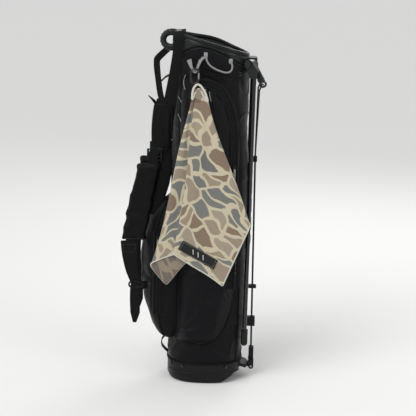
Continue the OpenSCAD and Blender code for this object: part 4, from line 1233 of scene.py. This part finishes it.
def on_front(xz, lift):
    """Points (x, z) laid on the towel's front layer."""
    dx, dz = xz[..., 0] - TOP[0], TOP[2] - xz[..., 1]
    al, rr = np.degrees(np.arctan2(dx, dz)), np.hypot(dx, dz)
    ph = np.interp(al, [-6.2, 8.2, 23.6], [16.5, 37, 55])
    y = hang(ph, rr)[..., 1]
    return np.stack([xz[..., 0], y - lift, xz[..., 1]], -1)


patch = put(grid("towel_patch", on_front(flat, 2.0), away=(0, 3000)), "towel_clip", "label", "towel_label",
            solid=1.6)
rim_ = corner.mean(0) + (corner - corner.mean(0)) * np.array([0.93, 0.86])
rim_ = np.vstack([np.linspace(p, q, 16)[:-1] for p, q in zip(rim_, np.roll(rim_, -1, 0))] + [rim_[:1]])
patch_thread = put(stitches("towel_patch_thread", on_front(rim_, 2.6), (0, -1, 0), 3.0, 2.1, 0.6),
                   "towel_clip", "light_thread")
along, across = unit(corner[1] - corner[0]), unit(corner[3] - corner[0])
mid = corner.mean(0)
for k in (-14, 0, 14):
    a0 = mid + along * k - across * 5.5 - along * 3.5
    a1 = mid + along * k + across * 5.5 + along * 3.5
    bar_ = on_front(np.linspace(a0, a1, 16), 2.7)
    put(sweep(f"towel_patch_bar_{k + 20}", bar_, round_profile(3.0, 0.8, 10, 4), (0, 1, 0),
                           ends=2),
                     "towel_clip", "light_thread")
ring_path = spline([(-43.5, -126.5, 718), (-43.5, -126, 732), (-40.5, -125, 745), (-33.5, -123, 752.5),
                    (-26, -122, 751),
                    (-18.5, -124.5, 742), (-11.5, -127.5, 729), (-7.5, -129, 714), (-15.5, -124.5, 724),
                    (-22.5, -121.5, 736),
                    (-29.5, -119.5, 742), (-37, -121.5, 733)], 140, closed=True)
knot = sweep("towel_tab_loop", ring_path, round_profile(5.6, 5.6, 14, 2.4), (0.02, 1, 0.03), loop=True)
put(knot, "towel_clip", "hem", "towel_tab")
print("towel", [round(c * 1000) for c in towel.dimensions])

# %% [markdown]
# ## Small marks and trims
# A vertical row of slanted bars stands where a maker would put a name. Piping divides the leg-side
# panel, and the eyelet and webbing keepers hold the cuff's cords.

# %% Trims
for k in range(6):
    z0 = 276 + 14 * k
    bar_ = on_near(np.linspace((65.5, z0), (72.0, z0 + 9), 14), 0.9)
    put(sweep(f"side_mark_{k}", bar_, round_profile(3.6, 1.0, 10, 4), (0.3, -1, 0), ends=2), "bag",
        "grey_webbing")
zl = np.linspace(246, 54, 60)
xs_ = 80 - 1.5 * smooth((120 - zl) / 60)
yl = -side_y(BODY_A, BODY_B, xs_)
sw = skin_swell(xs_, yl, zl)
put(sweep("leg_side_piping", np.stack([xs_ + sw * 0.6, yl - sw * 0.7 - 0.6, zl], 1),
          round_profile(3.2, 3.2, 8), (0.6, -0.7, 0.05), ends=3), "bag", "webbing")
EYELET_X, EYELET_Z, EYELET_R = 68.0, 776.0, 4.4
s = np.linspace(0, TAU, 49)
for side, tag in SIDES:
    y0 = side * (side_y(BODY_A, BODY_B, EYELET_X) + 2.6)
    ey = at_xyz(EYELET_X + EYELET_R * np.cos(s), y0 - side * 2.2 * np.cos(s),
                EYELET_Z + EYELET_R * np.sin(s))
    put(sweep("eyelet_" + tag, ey, round_profile(2.2, 2.2, 10), (0.5, side, 0.1), loop=True), "bag",
        "dark_metal")
for kx, kz, tag in ((-52, 807, "a"), (-26, 811, "b"), (-14.5, 822, "c"), (45.5, 809, "d")):
    y0 = -side_y(COLLAR_A, COLLAR_B, float(kx))
    tab_ = [(kx, y0 - 1.5, kz + 6), (kx, y0 - 5.0, kz + 1), (kx, y0 - 5.4, kz - 4), (kx, y0 - 2.8, kz - 10)]
    put(ribbon("cord_keeper_" + tag, tab_, (1, 0, 0), 9, 1.6, 30), "bag",
        "grey_webbing" if tag in "cd" else "webbing")
for (side, tag), first in zip(SIDES, (200, 20)):
    ox, oy = oval(94.0, 90.0, np.linspace(math.radians(first), math.radians(first + 140), 60))
    put(sweep("cup_rib_" + tag, at_xyz(ox * 1.004, oy * 1.004, 27), round_profile(2.2, 4.2, 10, 2.4),
              (0, 0, 1), ends=4), "bag", "cup_plastic")
for tag, pts in (("a", [(-62, 772), (-65, 761), (-66, 751), (-63.5, 741), (-61.5, 737)]),
                 ("b", [(-79, 718), (-74, 711), (-70, 705)]),
                 ("c", [(-79, 676), (-75, 668), (-70, 658)]), ("d", [(-4, 736), (-2, 724), (1, 712)])):
    line_ = on_near(spline([(p[0], 0, p[1]) for p in pts], 40)[:, [0, 2]], 1.4)
    put(sweep("zip_cord_" + tag, line_, round_profile(2.3, 2.3, 10), (0, 1, 0), ends=3), "bag",
        "grey_webbing")
print("trims done")

# %% [markdown]
# ## Studio
# A wide pale floor, one large soft light above and to the left, a fill on the right, a light
# behind for the edges and a broad weak one overhead. The camera stands where it shows the near
# side from a little above the rim.

# %% Studio
ring_r = np.array([0, 300, 900, 2500, 8000, 30000, 90000.0])[:, None]
t = np.linspace(0, TAU, 65)[None]
floor = grid("studio_floor", np.stack([ring_r * np.cos(t), ring_r * np.sin(t), -0.05 + 0 * ring_r * t], 2),
             away=None)
if floor.data.polygons[0].normal.z < 0:
    floor.data.flip_normals()
shader("studio_paper", (0.79, 0.79, 0.785), 0.9)
floor.data.materials.append(MATS["studio_paper"])


def soft_light(name, at, target, size, power):
    """Square area light that faces a point."""
    data = bpy.data.lights.new(name, "AREA")
    data.shape, data.size, data.energy = "SQUARE", size, power
    ob = add_object(name, data)
    ob.location = at
    ob.rotation_euler = (Vector(target) - Vector(at)).to_track_quat("-Z", "Y").to_euler()


soft_light("key", (-1.7, -2.3, 2.7), (0, 0, 0.45), 1.5, 30)
soft_light("fill", (2.2, -1.8, 1.5), (0, 0, 0.45), 1.2, 14)
soft_light("back", (0.9, 2.3, 2.3), (0, 0, 0.5), 1.2, 22)
wide = bpy.data.lights.new("overhead", "SUN")
wide.energy, wide.angle = 1.25, 0.75
overhead = add_object("overhead", wide)
overhead.rotation_euler = Vector((1.7, 2.3, -2.9)).to_track_quat("-Z", "Y").to_euler()
world = bpy.data.worlds.new("studio_air")
world.use_nodes = True
world.node_tree.nodes["Background"].inputs[0].default_value = (1.0, 1.0, 1.0, 1)
world.node_tree.nodes["Background"].inputs[1].default_value = 0.58
bpy.context.scene.world = world
bpy.context.scene.view_settings.view_transform = "Standard"
cam_data = bpy.data.cameras.new("camera")
cam_data.sensor_width = 36.0
cam_data.lens = 105.06
cam = add_object("camera", cam_data)
tilt = Matrix.Rotation(math.radians(90 - 10.7), 4, "X") @ Matrix.Rotation(math.radians(1.45), 4, "Z")
cam.matrix_world = Matrix.Translation((0.0, -3.0, 1.0)) @ tilt
bpy.context.scene.camera = cam
